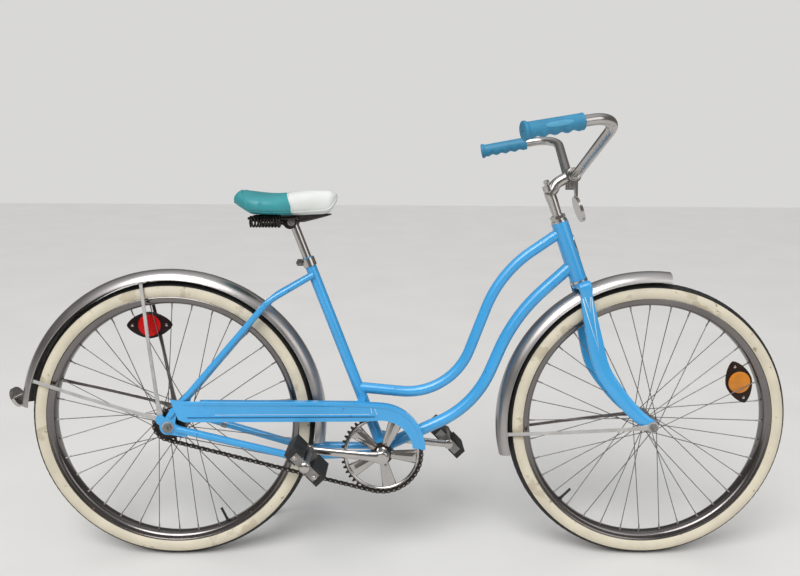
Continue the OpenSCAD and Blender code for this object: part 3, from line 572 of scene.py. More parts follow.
def tread(wheel, centre):
    bm = bmesh.new()
    for row, tilt in enumerate(TREAD_ROWS):
        skew = TREAD_SKEW if row % 2 else -TREAD_SKEW
        shift = 0.5 if row % 2 else 0
        low = tilt - TREAD_HALF
        high = tilt + TREAD_HALF
        for k in range(TREAD_COUNT):
            start = TREAD_PITCH * (k + shift)
            end = start + TREAD_PITCH * TREAD_FILL
            corners = ((start, low), (end, low), (end, high), (start, high))
            rings = [tread_ring(centre, corners, height, skew) for height in TREAD_HEIGHTS]
            top = loft(bm, rings, caps=False)[-1]
            bm.faces.new(top)
    piece(wheel + "_tread", bm, "tyre", wheel + "_wheel", smooth=False)


for wheel_at in WHEELS:
    tread(*wheel_at)

# Rims: a rolled lip against the tyre, a curved wall and a narrow floor
RIM_WALL = [
    (2.0, 16.9), (3.0, 17.7), (2.8, 18.7), (1.6, 19.2), (0.2, 18.8), (-0.8, 17.9),
    (-3.5, 17.3), (-7.0, 16.6), (-10.0, 14.8), (-12.4, 11.5), (-13.8, 7.5), (-14.2, 3.0),
]
RIM_BED = [(RIM_R - 9, -12), (RIM_R - 9, 12)]
RIM_FLOOR = RIM_R - 14.2


def rim(wheel, centre):
    near = [(RIM_R + out, y) for out, y in RIM_WALL]
    far = [(radius, -y) for radius, y in reversed(near)]
    bm = bmesh.new()
    hoop(bm, centre, near + far + RIM_BED, 180)
    name = wheel + "_rolled_rim"
    node = wheel + "_rim"
    piece(name, bm, "rim_chrome", wheel + "_wheel", replaced=(node,), slot="chrome")


for wheel_at in WHEELS:
    rim(*wheel_at)

# Valve stems: a flanged foot where each one leaves the rim
VALVE_ANGLES = {"front": -135, "rear": -65}
VALVE_FOOT = [(0, 5.2), (1.5, 5.2), (2.6, 3.6), (9.5, 3.2)]


def valve_foot(wheel, centre):
    degrees = VALVE_ANGLES[wheel]
    bm = bmesh.new()
    turned(bm, polar(centre, RIM_FLOOR + 0.4, degrees, 0), -upright(degrees), VALVE_FOOT, 20)
    piece(wheel + "_valve_foot", bm, "tyre", wheel + "_wheel")


for wheel_at in WHEELS:
    valve_foot(*wheel_at)

# Spoke nipples on the rims
SPOKES = 36
NIPPLE = [(0, 2.6), (2, 2.4), (3, 1.9), (13, 1.7), (13.5, 1.4)]
NIPPLE_Y = 3.0


def nipples(wheel, centre):
    bm = bmesh.new()
    for k in range(SPOKES):
        degrees = 360 / SPOKES * k
        base = polar(centre, RIM_FLOOR + 0.3, degrees, NIPPLE_Y if k % 2 else -NIPPLE_Y)
        turned(bm, base, -upright(degrees), NIPPLE, 8)
    piece(wheel + "_nipples", bm, "plated_steel", wheel + "_wheel")


for wheel_at in WHEELS:
    nipples(*wheel_at)

# Chain: waisted link plates, pins and, on the free runs, rollers
PITCH = 12.7
LINKS = 110
RING_TEETH = 46
COG_TEETH = 18
RING_R = PITCH / (2 * sin(pi / RING_TEETH))
COG_R = PITCH / (2 * sin(pi / COG_TEETH))
SPAN = hypot(CRANK.x, REAR.z - CRANK.z)
RUN_A = atan2(CRANK.z - REAR.z, CRANK.x)
RUN_B = acos((COG_R - RING_R) / SPAN)
RUN_LEN = SPAN * sin(RUN_B)
RING_ARC = 2 * RUN_B * RING_R
LOOP = 2 * RUN_LEN + RING_ARC + (2 * pi - 2 * RUN_B) * COG_R
PLATE_WIDE = 5.3
PLATE_END = 4.6
INNER_PLATE = (1.7, 2.7)
OUTER_PLATE = (2.75, 3.65)
PIN = [(0, 2.1), (0.5, 2.1), (0.8, 1.4)]
PIN_OUT = 3.6
ROLLER_HALF = 1.65
ROLLER = [(0, 3.7), (2 * ROLLER_HALF, 3.7)]
COG_CLEAR = COG_R + 9
RING_CLEAR = RING_R + 7


def chain_arc(centre, radius, angle, on=0.0):
    """Point on a sprocket's pitch circle, or a distance on along the tangent there."""
    ray = Vector((cos(angle), 0, sin(angle)))
    return centre + radius * ray - on * quarter_turn(ray)


def chain_at(s):
    """Point on the chain's line, at a distance s from the top of the rear sprocket."""
    s %= LOOP
    if s < RUN_LEN:
        return chain_arc(REAR, COG_R, RUN_A + RUN_B, s)
    s -= RUN_LEN
    if s < RING_ARC:
        return chain_arc(CRANK, RING_R, RUN_A + RUN_B - s / RING_R)
    s -= RING_ARC
    if s < RUN_LEN:
        return chain_arc(CRANK, RING_R, RUN_A - RUN_B, s)
    return chain_arc(REAR, COG_R, RUN_A - RUN_B - (s - RUN_LEN) / COG_R)


def link_outline(start, end):
    """A plate's outline around two pins, narrow at its waist."""
    along = (end - start).normalized()
    across = quarter_turn(along)
    reach = (end - start).length / 2 + PLATE_END
    middle = (start + end) / 2
    outline = []
    for a in circle(24):
        waist = 1 - 0.48 * exp(-((cos(a) / 0.42) ** 2))
        wide = PLATE_WIDE * sin(a) * waist
        outline.append(middle + along * reach * cos(a) + across * wide)
    return outline


def chain():
    link_bm = bmesh.new()
    pin_bm = bmesh.new()
    pins = [chain_at(LOOP / LINKS * i) for i in range(LINKS)]
    for i, pin in enumerate(pins):
        outline = link_outline(pin, pins[(i + 1) % LINKS])
        plate = INNER_PLATE if i % 2 else OUTER_PLATE
        for side in SIDES:
            out = LEFT * side
            middle = LEFT * CHAIN_Y
            loft(link_bm, [[p + middle + out * y for p in outline] for y in plate])
            turned(pin_bm, pin + middle + out * PIN_OUT, out, PIN, 10)
        if (pin - REAR).length > COG_CLEAR and (pin - CRANK).length > RING_CLEAR:
            turned(link_bm, pin + LEFT * (CHAIN_Y - ROLLER_HALF), LEFT, ROLLER, 12)
    piece("chain_pins", pin_bm, "plated_steel", "frame", slot="dark_steel")
    piece("chain_links", link_bm, "dark_steel", "frame", replaced=("chain",))


chain()

# Fork blades: a domed outer face that runs up each blade and over its shoulder onto the crown
BLADE_TOP = Vector((953.0, 0.0, 653.0))
BLADE_X = [0, 8, 24, 45, 86, 128, 167]
BLADE_Z = [0, -45, -115, -190, -250, -296, -322]
BLADE_HALF = [11, 14.5, 17, 17.5, 16.5, 15, 12]
BLADE_MARGIN = 0.4
BLADE_Y = 40.0
BLADE_SPLAY = sin(radians(2.2))
DOME = 5.0
DOME_SINK = 2.4
SHOULDER_X = [957.2, 955.2, 953.0, 951.2, 949.6, 949.0]
SHOULDER_Y = [38.5, 39.0, 39.2, 37.8, 33.0, 21.0]
SHOULDER_Z = [630.0, 643.0, 652.0, 657.5, 659.6, 659.6]
SHOULDER_HALF = [12.8, 14.6, 15.6, 16.0, 16.0, 15.0]
SHOULDER_TILT = [11.0, 14.0, 17.0, 20.0, 21.0, 21.0]
FACE_WIDTHS = [sin(radians(9 * k - 90)) for k in range(21)]
FACE_LOW = 0.95
FACE_HIGH = 0.10
BLADE_STEPS = 40
SHOULDER_STEPS = 24


def blade_mid(t):
    return BLADE_TOP + Vector((spline(BLADE_X, t), 0, spline(BLADE_Z, t)))


def blade_face(t, v, raise_by, side):
    """Point on a blade's domed face: t down the blade, v across it from -1 to 1."""
    down = (blade_mid(min(1, t + 0.01)) - blade_mid(max(0, t - 0.01))).normalized()
    half = spline(BLADE_HALF, t) + BLADE_MARGIN
    p = blade_mid(t) + quarter_turn(down) * v * half
    dome = DOME * sqrt(max(0, 1 - v * v)) - DOME_SINK
    out = BLADE_Y + (BLADE_TOP.z - p.z) * BLADE_SPLAY + dome + raise_by
    return Vector((p.x, side * out, p.z))


def shoulder_mid(t):
    return Vector((spline(SHOULDER_X, t), spline(SHOULDER_Y, t), spline(SHOULDER_Z, t)))


def shoulder_ring(t, side):
    """Section of a shoulder, from the blade at t = 0 over onto the crown at t = 1."""
    step = shoulder_mid(min(1, t + 0.02)) - shoulder_mid(max(0, t - 0.02))
    out = Vector((0, step.z, -step.y)).normalized()
    across = upright(spline(SHOULDER_TILT, t)) * spline(SHOULDER_HALF, t)
    ring = []
    for v in FACE_WIDTHS:
        dome = DOME * sqrt(1 - abs(v) ** (2 + 4 * t))
        ring.append(mirrored(shoulder_mid(t) + across * v + out * dome, side))
    return ring


def blade_faces():
    bm = bmesh.new()
    for side in SIDES:
        rings = []
        for i in range(BLADE_STEPS + 1):
            t = FACE_LOW + (FACE_HIGH - FACE_LOW) * i / BLADE_STEPS
            rings.append([blade_face(t, v, 0, side) for v in FACE_WIDTHS])
        for i in range(1, SHOULDER_STEPS + 1):
            rings.append(shoulder_ring(i / SHOULDER_STEPS, side))
        loft(bm, rings)
    piece("blade_faces", bm, "sky_paint", "steering")


# Pale darts under the crown: place across the blade at top and tip, top width, start and end down it
DARTS = (
    (-0.75, 0.10, 0.16, 0.10, 0.38),
    (0.75, 0.14, 0.16, 0.10, 0.40),
    (-0.42, 0.10, 0.14, 0.09, 0.20),
    (0.55, 0.14, 0.14, 0.09, 0.20),
)
DART_STEPS = 12
DART_TIP = 0.015
DART_TOP = 0.22
DART_SINK = 0.02


def dart_ring(f, dart, side):
    v_top, v_tip, width, start, end = dart
    v = v_top + (v_tip - v_top) * f
    t = start + (end - start) * f
    half = (width * (1 - f) + DART_TIP) / 2
    corners = ((-half, DART_TOP), (half, DART_TOP), (half, DART_SINK), (-half, DART_SINK))
    return [blade_face(t, v + shift, height, side) for shift, height in corners]


def fork_darts():
    bm = bmesh.new()
    for side in SIDES:
        for dart in DARTS:
            loft(bm, [dart_ring(i / DART_STEPS, dart, side) for i in range(DART_STEPS + 1)])
    piece("fork_darts", bm, "dart_paint", "steering", smooth=False)


blade_faces()
fork_darts()

# Chain guard: a rolled top edge, a ridge over a dark strip of painted shadow, a pale stripe and two
# slanted ticks
GUARD_Y = -57.12
GUARD_SPLAY = tan(radians(1.33))
GUARD_EDGE = ((42, 392.5), (170, 391.0), (300, 390.0), (430, 388.0))
GUARD_BEND = Vector((482.0, 0.0, 275.0))
GUARD_BEND_R = 109.0
GUARD_BEND_ANGLES = [84 - 3 * k for k in range(29)]
ROLLED_EDGE = ((0.2, -0.6), (0.4, 0.3), (3.0, 1.5), (9.5, 0.9), (11.0, -0.3))
RIDGE = ((0.5, 1.7), (-1.0, 1.2), (-1.4, -0.9), (0.5, -1.3))
RIDGE_Z = 356.6
SHADOW_STRIP = ((0.3, 1.2), (-0.85, 1.2), (-0.85, -1.0), (0.3, -1.0))
SHADOW_STRIP_Z = 354.2
STRIPE = ((0.12, 0.45), (-0.12, 0.45), (-0.12, -0.45), (0.12, -0.45))
STRIPE_Z = 360.4
TICKS = ((463.0, 3.4, 361.0), (471.5, 6.4, 358.5))
TICK_TOP = 379.0
TICK_WIDE = 1.1


def guard_spot(x, inward, z):
    """Point at or off the guard's splayed outer face."""
    return Vector((x, GUARD_Y + (x - CRANK.x) * GUARD_SPLAY + inward, z))


def guard_top(drop):
    """The guard's top edge, lowered by drop, from its back end round the front bend."""
    edge = [Vector((x, 0, z - drop)) for x, z in GUARD_EDGE]
    return edge + [polar(GUARD_BEND, GUARD_BEND_R - drop, a, 0) for a in GUARD_BEND_ANGLES]


def guard_rail(bm, section, z, stations):
    """A level strip on the guard's face, whose section lists (inward, up)."""
    loft(bm, [[guard_spot(x, inward, z + up) for inward, up in section] for x in stations])


def guard_ridges():
    bm = bmesh.new()
    lines = []
    for drop, off in ROLLED_EDGE:
        lines.append([guard_spot(p.x, -off, p.z) for p in guard_top(drop)])
    loft(bm, zip(*lines))
    guard_rail(bm, RIDGE, RIDGE_Z, (48, 150, 300, 472))
    piece("guard_ridges", bm, "sky_paint", "frame")


def guard_shadow_line():
    bm = bmesh.new()
    # painted shadow: a dark strip stands for the shade under the ridge
    guard_rail(bm, SHADOW_STRIP, SHADOW_STRIP_Z, (48, 150, 300, 474))
    piece("guard_shadow_line", bm, "shadow_line_paint", "frame", smooth=False)


def guard_lines():
    bm = bmesh.new()
    guard_rail(bm, STRIPE, STRIPE_Z, (110, 240, 350, 462))
    for x, slant, low in TICKS:
        top = ((x, TICK_TOP), (x + TICK_WIDE, TICK_TOP))
        foot = ((x + slant + TICK_WIDE, low), (x + slant, low))
        loft(bm, [[guard_spot(px, y, pz) for px, pz in top + foot] for y in (-0.1, 0.12)])
    piece("guard_lines", bm, "dart_paint", "frame", smooth=False)


guard_ridges()
guard_shadow_line()
guard_lines()

# Blank head badge: an oval plate curved round the head tube
BADGE_AT = on_head(742) + HEAD_FORE * 18.7
BADGE_WIDE = 13.0
BADGE_TALL = 24.0
BADGE_CURVE = 19.5
BADGE_STEPS = ((0.0, 1.0), (1.6, 1.0), (2.2, 0.9))


def head_badge():
    rings = []
    for depth, grow in BADGE_STEPS:
        ring = []
        for a in circle(40):
            y = BADGE_WIDE * grow * sin(a)
            sag = BADGE_CURVE - sqrt(BADGE_CURVE**2 - y * y)
            up = HEAD_UP * BADGE_TALL * grow * cos(a)
            ring.append(BADGE_AT + up + LEFT * y + HEAD_FORE * (depth - sag))
        rings.append(ring)
    bm = bmesh.new()
    loft(bm, rings)
    piece("head_badge", bm, "chrome", "frame")


head_badge()

# Brazed ends of the bridge on the outside of each seat stay
BRIDGE_END = Vector((226.4, 41.0, 614.0))
BRIDGE_CAP = [(0, 5), (6.6, 5), (7.4, 4), (7.7, 1.5)]


def bridge_ends():
    bm = bmesh.new()
    for side in SIDES:
        turned(bm, mirrored(BRIDGE_END, side), LEFT * side, BRIDGE_CAP)
    piece("bridge_ends", bm, "sky_paint", "frame")


bridge_ends()

# Pressed pan under the saddle's nose: x, half width, lowest and highest level of each section
PAN = (
    (262, 40, 802, 815.5),
    (285, 34, 796, 815.5),
    (310, 27, 797, 815.5),
    (335, 20, 803, 815.5),
    (360, 14, 810, 816.5),
    (372, 9, 814, 817),
)


def saddle_pan():
    rings = []
    for x, half, low, high in PAN:
        ring = []
        for k in range(20):
            a = pi * k / 19
            drop = (high - low) * sin(a) ** 0.7
            ring.append(Vector((x, half * cos(a), high - drop)))
        rings.append(ring)
    bm = bmesh.new()
    loft(bm, rings)
    piece("saddle_pan", bm, "dark_steel", "frame")


saddle_pan()

# Coil springs under the back corners of the saddle, with a cap at each end
SPRING_AT = Vector((200.0, 60.0, 799.5))
SPRING_LEN = 62.0
SPRING_R = 11.2
SPRING_WIRE = 2.2
SPRING_COILS = 9
COIL_STEPS = 24
SPRING_CAP = [(0, 11), (0.6, 13), (2.4, 13), (3, 11)]
SPRING_CAP_AT = (-2.5, 61.5)


def saddle_springs():
    bm = bmesh.new()
    steps = SPRING_COILS * COIL_STEPS
    for side in SIDES:
        start = mirrored(SPRING_AT, side)
        coil = []
        for k in range(steps + 1):
            a = 2 * pi * k / COIL_STEPS
            around = Vector((0, SPRING_R * cos(a), SPRING_R * sin(a)))
            coil.append(start + AHEAD * (SPRING_LEN * k / steps) + around)
        swept(bm, coil, SPRING_WIRE, 10)
        for shift in SPRING_CAP_AT:
            turned(bm, start + AHEAD * shift, AHEAD, SPRING_CAP, 28)
    piece("saddle_springs", bm, "dark_steel", "frame")


saddle_springs()

# Bolts: seat clamp, saddle clamp, stem and bar clamp, and a ring on the steerer's top
SMALL_BOLT = (5, 4)
LARGE_BOLT = (6.5, 6)
SEAT_CLAMP = CRANK + SEAT_UP * ((704 - CRANK.z) / SEAT_UP.z) + Vector((-22, 11, 0))
SADDLE_CLAMP = Vector((284.0, 29.0, 797.0))
BAR_CLAMP = BAR_MID + Vector((-4, 13, -25))
STEM_BOLT = on_head(876) + HEAD_UP * 14
STEERER_TOP = on_head(800)
STEERER_RING = [(15.6, 13.3), (18.2, 13.3), (18.7, 12.8), (18.7, 11.1)]


def frame_bolts():
    bm = bmesh.new()
    for side in SIDES:
        bolt(bm, mirrored(SEAT_CLAMP, side), LEFT * side, *SMALL_BOLT)
        bolt(bm, mirrored(SADDLE_CLAMP, side), LEFT * side, *LARGE_BOLT)
    piece("frame_bolts", bm, "chrome", "frame")


def steering_bolts():
    bm = bmesh.new()
    bolt(bm, STEM_BOLT, HEAD_UP, *LARGE_BOLT)
    turned(bm, STEERER_TOP, HEAD_UP, STEERER_RING, 32)
    for side in SIDES:
        bolt(bm, mirrored(BAR_CLAMP, side), LEFT * side, *SMALL_BOLT)
    piece("steering_bolts", bm, "chrome", "steering")


frame_bolts()
steering_bolts()

# Chainring: a domed band inside the teeth and a creased rib along each of the five arms
RING_FACE = CHAIN_Y - 1.1
BAND = ((81.2, 0), (82.0, 1.0), (84.5, 1.9), (87.0, 1.0), (87.8, 0))
ARMS = 5
ARM_START = -5
RIB = ((21, 9.1, 1.2), (30, 10.2, 2.6), (50, 12.8, 3.0), (70, 15.3, 2.6), (80, 16.6, 1.2))
CREASE = ((-1, 0), (-0.55, 0.3), (0, 1), (0.55, 0.3), (1, 0))


def chainring_band():
    bm = bmesh.new()
    hoop(bm, CRANK, [(radius, RING_FACE - off) for radius, off in BAND], 120)
    piece("chainring_band", bm, "chrome", "cranks")


def chainring_ribs():
    bm = bmesh.new()
    for i in range(ARMS):
        along = upright(360 / ARMS * i + ARM_START)
        across = quarter_turn(along)
        rings = []
        for reach, half, crest in RIB:
            middle = CRANK + along * reach + LEFT * RING_FACE
            rings.append([middle + across * half * w - LEFT * crest * h for w, h in CREASE])
        loft(bm, rings)
    piece("chainring_ribs", bm, "chrome", "cranks", smooth=False)


chainring_band()
chainring_ribs()

# Forged cranks: oval arms between a round boss and the pedal eye, on one through spindle
SPINDLE_END = 66.0
SPINDLE = [(0, 12), (2 * SPINDLE_END, 12)]
RING_BOSS = [(0, 16), (3, 18), (20.6, 18)]
ARM_Y = 72.0
ARM = (
    (0.0, 13.5, 6.0),
    (0.08, 12.6, 6.2),
    (0.2, 10.6, 6.2),
    (0.5, 9.4, 5.9),
    (0.85, 8.8, 5.6),
    (1, 9, 5.6),
)
ARM_BOSS_Y = 65.6
ARM_BOSS = [(0, 13.5), (1.5, 15.5), (10.5, 15.5), (12.5, 13.5), (13, 10)]
PEDAL_EYE_IN = 6.2
PEDAL_EYE = [(0, 9.5), (1.2, 11.3), (11.2, 11.3), (12.4, 9.5)]
PEDAL_PIN_OUT = 5.0
PEDAL_PIN = [(0, 6.9), (10, 6.9), (10.5, 5.5), (104, 5.5)]


def crank_ray(side):
    """Direction from the crank axis to the pedal of one side."""
    return upright(CRANK_TURN) * -side


def crank_arm(bm, side):
    ray = crank_ray(side)
    out = LEFT * side
    wide = quarter_turn(ray)
    middle = CRANK + out * ARM_Y
    rings = []
    for share, half, thick in ARM:
        spot = middle + ray * CRANK_LEN * share
        rings.append([spot + wide * half * cos(a) + LEFT * thick * sin(a) for a in circle(24)])
    loft(bm, rings)
    turned(bm, CRANK + out * ARM_BOSS_Y, out, ARM_BOSS, 36)
    eye = middle + ray * CRANK_LEN
    turned(bm, eye - out * PEDAL_EYE_IN, out, PEDAL_EYE, 32)
    turned(bm, eye + out * PEDAL_PIN_OUT, out, PEDAL_PIN, 20)


def forged_cranks():
    bm = bmesh.new()
    start = CRANK - LEFT * SPINDLE_END
    turned(bm, start, LEFT, SPINDLE, 32)
    turned(bm, start, LEFT, RING_BOSS, 40)
    for side in SIDES:
        crank_arm(bm, side)
    piece("forged_cranks", bm, "chrome", "cranks", replaced=("crank",))


forged_cranks()

# Fender stays: flat straps with painted shade on their inner faces, from an eye to a riveted tab
# inside the fender edge
STRAP_LEN = 334.0
STRAP = ((-1, -0.4), (-0.8, 1), (0.8, 1), (1, -0.4), (0.8, -1), (-0.8, -1))
STRAP_BACK = ((-0.78, -1.2), (0.78, -1.2), (0.78, -0.95), (-0.78, -0.95))
STRAP_HALF_THICK = 1.1
STAY_WASHER = [(0, 13), (1.9, 13)]
STAY_EYE = [(0, 9), (2.5, 9)]
RIVET = [(0, 2.6), (1, 2.2), (1.5, 1.2)]
RIVET_AT = (329, 25.4)
REAR_STAYS = (100.6, 163)
REAR_WASHER_Y = 60.1
REAR_EYE_Y = 52.1
FRONT_STAYS = (185,)
FRONT_EYE_Y = 55.1


def strap_stations(eye_y):
    """Distance along a strap, distance from the middle plane and half width."""
    near = [(11, eye_y + 1.2, 7.0), (40, eye_y + 2.2, 5.0), (62, eye_y + 2.0, 4.4)]
    return near + [(200, 43.5, 4.2), (322, 25.6, 4.2), (STRAP_LEN, 24.2, 4.8)]


def strap_skin(bm, foot, run, out, eye_y, section):
    wide = quarter_turn(run).normalized()
    thick = out * STRAP_HALF_THICK
    rings = []
    for reach, y, half in strap_stations(eye_y):
        spot = foot + run * reach + out * y
        rings.append([spot + wide * half * w + thick * t for w, t in section])
    loft(bm, rings)


def strap_stays(name, axle, foot, washer_y, eye_y, angles, body, node):
    """The stays of one wheel, both sides, from a foot on or beside the axle."""
    bm = bmesh.new()
    shade_back_bm = bmesh.new()
    rivet_reach, rivet_y = RIVET_AT
    for side in SIDES:
        out = LEFT * side
        turned(bm, axle + out * washer_y, out, STAY_WASHER, 32)
        turned(bm, foot + out * eye_y, out, STAY_EYE, 32)
        for degrees in angles:
            run = (polar(axle, STRAP_LEN, degrees, 0) - foot) / STRAP_LEN
            strap_skin(bm, foot, run, out, eye_y, STRAP)
            strap_skin(shade_back_bm, foot, run, out, eye_y, STRAP_BACK)
            turned(bm, foot + run * rivet_reach + out * rivet_y, out, RIVET, 14)
    piece(name, bm, "strap_steel", body, replaced=(node,), slot="plated_steel")
    # painted shade: the straps' inner faces are coloured dark for the shade they lie in
    piece(name + "_painted_shade_backs", shade_back_bm, "strap_painted_shade", body, slot="plated_steel")


# Ears on the rear fork ends, behind the axle, which carry the rear stays
EAR_REACH = Vector((-17, 0, 16))
EAR = REAR + EAR_REACH
EAR_INNER = 54.6
EAR_DISC = [(0, 10.4), (0.6, 11), (4.8, 11), (5.4, 10.4)]
EAR_ARM = ((-10.5, 55.0), (10.5, 55.0), (10.5, 59.6), (-10.5, 59.6))


def stay_ears():
    bm = bmesh.new()
    wide = quarter_turn(EAR_REACH).normalized()
    for side in SIDES:
        out = LEFT * side
        turned(bm, EAR + out * EAR_INNER, out, EAR_DISC, 32)
        rings = []
        for share in (0.1, 1):
            middle = REAR + EAR_REACH * share
            rings.append([middle + wide * w + out * y for w, y in EAR_ARM])
        loft(bm, rings)
    piece("stay_ears", bm, "sky_paint", "frame")


strap_stays(
    "rear_straps", REAR, EAR, REAR_WASHER_Y, REAR_EYE_Y, REAR_STAYS, "frame", "rear_fender_stays"
)
strap_stays(
    "front_straps", FRONT, FRONT, FRONT_EYE_Y, FRONT_EYE_Y, FRONT_STAYS, "steering",
    "front_fender_stays",
)
stay_ears()

# Spoke reflectors: an eye-shaped shell, a domed lens in a raised rim on each face, a clip by each end
SHELL_LONG = 53.0
SHELL_WIDE = 31.5
SHELL_STEPS = ((-2.2, 0.94), (-1.3, 1.0), (1.3, 1.0), (2.2, 0.94))
SHELL_FACE = 2.2
LENS = [(0, 26.2), (1.2, 26.2), (2.0, 23), (2.6, 14), (2.8, 4)]
LENS_RIM = [(0, 28.6), (1.5, 28.6), (1.9, 27.9), (1.9, 26.4), (0.2, 26.2)]
CLIP = [(0, 3.4), (0.8, 3.2), (1.3, 1.6)]
CLIP_AT = 39.5


def reflector_shell(bm, middle, along, across):
    rings = []
    for y, grow in SHELL_STEPS:
        ring = []
        for a in circle(64):
            x = SHELL_LONG * grow * bulge(cos(a), 1.25)
            z = SHELL_WIDE * grow * bulge(sin(a), 1.35)
            ring.append(middle + along * x + across * z + LEFT * y)
        rings.append(ring)
    loft(bm, rings)


def spoke_reflector(wheel, middle, lie, lens_mat, shell_mat):
    """A reflector between the spokes, its long axis at the angle lie."""
    shell_bm = bmesh.new()
    lens_bm = bmesh.new()
    rim_bm = bmesh.new()
    clip_bm = bmesh.new()
    along = upright(lie)
    reflector_shell(shell_bm, middle, along, quarter_turn(along))
    for side in SIDES:
        out = LEFT * side
        seat = middle + out * SHELL_FACE
        turned(lens_bm, seat, out, LENS, 40)
        turned(rim_bm, seat, out, LENS_RIM, 40)
        for end in SIDES:
            turned(clip_bm, seat + along * end * CLIP_AT, out, CLIP, 18)
    body = wheel + "_wheel"
    shell_node = wheel + "_spoke_reflector"
    lens_node = wheel + "_spoke_lens"
    piece(wheel + "_reflector_shell", shell_bm, shell_mat, body, replaced=(shell_node,))
    piece(wheel + "_lens", lens_bm, lens_mat, body, replaced=(lens_node,))
    piece(wheel + "_lens_rim", rim_bm, shell_mat, body)
    piece(wheel + "_reflector_clips", clip_bm, "chrome", body)


spoke_reflector("front", polar(FRONT, 239, 23, 0), 109, "amber_lens", "amber_plastic")
spoke_reflector("rear", polar(REAR, 232, 103, 0), 1, "red_lens", "red_plastic")

# Stem: the forged neck swelling from the quill to the bar clamp
NECK = (
    on_head(822),
    on_head(845),
    on_head(864),
    on_head(872) + Vector((9, 0, 3)),
    Vector((890, 0, 890)),
    BAR_MID,
)
NECK_X = [p.x for p in NECK]
NECK_Z = [p.z for p in NECK]
NECK_R = [11.4, 12.2, 13.4, 13.6, 13.0, 14.5]
NECK_STEPS = 32


def neck_mid(f):
    return Vector((spline(NECK_X, f), 0, spline(NECK_Z, f)))


def stem_neck():
    rings = []
    for i in range(NECK_STEPS + 1):
        f = i / NECK_STEPS
        along = (neck_mid(min(1, f + 0.02)) - neck_mid(max(0, f - 0.02))).normalized()
        rings.append(round_ring(neck_mid(f), quarter_turn(along), LEFT, spline(NECK_R, f), 24))
    bm = bmesh.new()
    loft(bm, rings)
    piece("stem_neck", bm, "chrome", "steering")


stem_neck()

# Handlebar: one bent tube with a thicker middle
BAR_R = 11.1
BAR_BENDS = (0, 62, 45, 45, 62, 0)
SLEEVE_HALF = 24
BAR_SLEEVE = [(0, 11.6), (1, 12.7), (2 * SLEEVE_HALF - 1, 12.7), (2 * SLEEVE_HALF, 11.6)]
BEND_STEPS = 14


def rounded(points, bends):
    """Corner points joined by straight runs and arcs of the given radii."""
    line = [points[0]]
    for i in range(1, len(points) - 1):
        back = (points[i - 1] - points[i]).normalized()
        on = (points[i + 1] - points[i]).normalized()
        half = acos(max(-1, min(1, back.dot(on)))) / 2
        reach = bends[i] / tan(half)
        centre = points[i] + (back + on).normalized() * bends[i] / sin(half)
        start = points[i] + back * reach - centre
        end = points[i] + on * reach - centre
        for k in range(BEND_STEPS + 1):
            line.append(centre + start.slerp(end, k / BEND_STEPS).normalized() * bends[i])
    return line + [points[-1]]


def bent_bar():
    left_half = [BAR_CORNER, BAR_BEND, BAR_END]
    corners = [mirrored(p) for p in reversed(left_half)] + left_half
    bm = bmesh.new()
    swept(bm, rounded(corners, BAR_BENDS), BAR_R, 36)
    turned(bm, BAR_MID - LEFT * SLEEVE_HALF, LEFT, BAR_SLEEVE, 40)
    piece("bent_bar", bm, "chrome", "steering", replaced=("handlebar",))


bent_bar()

# Moulded grips: round flange, end hole and finger scallops underneath
GRIP_FLANGE = [
    (-2.5, 2.5), (-6.0, 3.0), (-6.4, 12), (-5.8, 16.5),
    (-4.2, 18.8), (-1.5, 19.2), (1.0, 18.6), (3.0, 17),
]
GRIP_SHANK = [(5 + 1.5 * k, 16.0) for k in range(71)]
GRIP_LIP = [(112, 16.4), (113.5, 16.6), (114.8, 15.4), (115.0, 11.4)]
GRIP_PROFILE = GRIP_FLANGE + GRIP_SHANK + GRIP_LIP
SCALLOP_START = 8
SCALLOP_END = 108
SCALLOP_FIRST = 22
SCALLOP_PITCH = 24
SCALLOP_DEEP = 3.6
SCALLOP_SWELL = 1.0


def grip_line(side):
    """The outer end of one grip and its direction along the bar."""
    end = mirrored(BAR_END, side)
    return end, (mirrored(BAR_BEND, side) - end).normalized()


def scallop(along, a):
    """How far the grip's underside dips between the fingers."""
    if not SCALLOP_START < along < SCALLOP_END:
        return 0.0
    under = max(0.0, -sin(a)) ** 1.5
    wave = 0.5 + 0.5 * cos(2 * pi * (along - SCALLOP_FIRST) / SCALLOP_PITCH)
    return under * (SCALLOP_DEEP * wave - SCALLOP_SWELL)


def moulded_grips():
    bm = bmesh.new()
    for side in SIDES:
        end, d = grip_line(side)
        u = d.cross(UP).normalized()
        v = u.cross(d).normalized()
        rings = []
        for along, radius in GRIP_PROFILE:
            ring = []
            for a in circle(40):
                ray = u * cos(a) + v * sin(a)
                ring.append(end + d * along + ray * (radius - scallop(along, a)))
            rings.append(ring)
        loft(bm, rings)
    piece("moulded_grips", bm, "blue_rubber", "steering", replaced=("grips",))


# Plain oval pads on the outer sides of the grips
PAD_AT = 62.0
PAD_HALF = 29.0
PAD_SWEEP = radians(21)
PAD_TURN = radians(10)
PAD_SECTION = ((-1, 15.2), (-0.9, 16.6), (-0.4, 17.0), (0.4, 17.0), (0.9, 16.6), (1, 15.2))
PAD_STEPS = 32


def grip_pads():
    bm = bmesh.new()
    for side in SIDES:
        end, d = grip_line(side)
        out = (UP * side).cross(d).normalized()
        up = d.cross(out).normalized() * side
        rings = []
        for k in range(1, PAD_STEPS):
            x = 2 * k / PAD_STEPS - 1
            sweep = PAD_SWEEP * sqrt(1 - x * x)
            middle = end + d * (PAD_AT + PAD_HALF * x)
            ring = []
            for share, radius in PAD_SECTION:
                a = PAD_TURN + share * sweep
                ring.append(middle + (out * cos(a) + up * sin(a)) * radius)
            rings.append(ring)
        loft(bm, rings)
    piece("grip_pads", bm, "pale_rubber", "steering", slot="blue_rubber")


moulded_grips()
grip_pads()

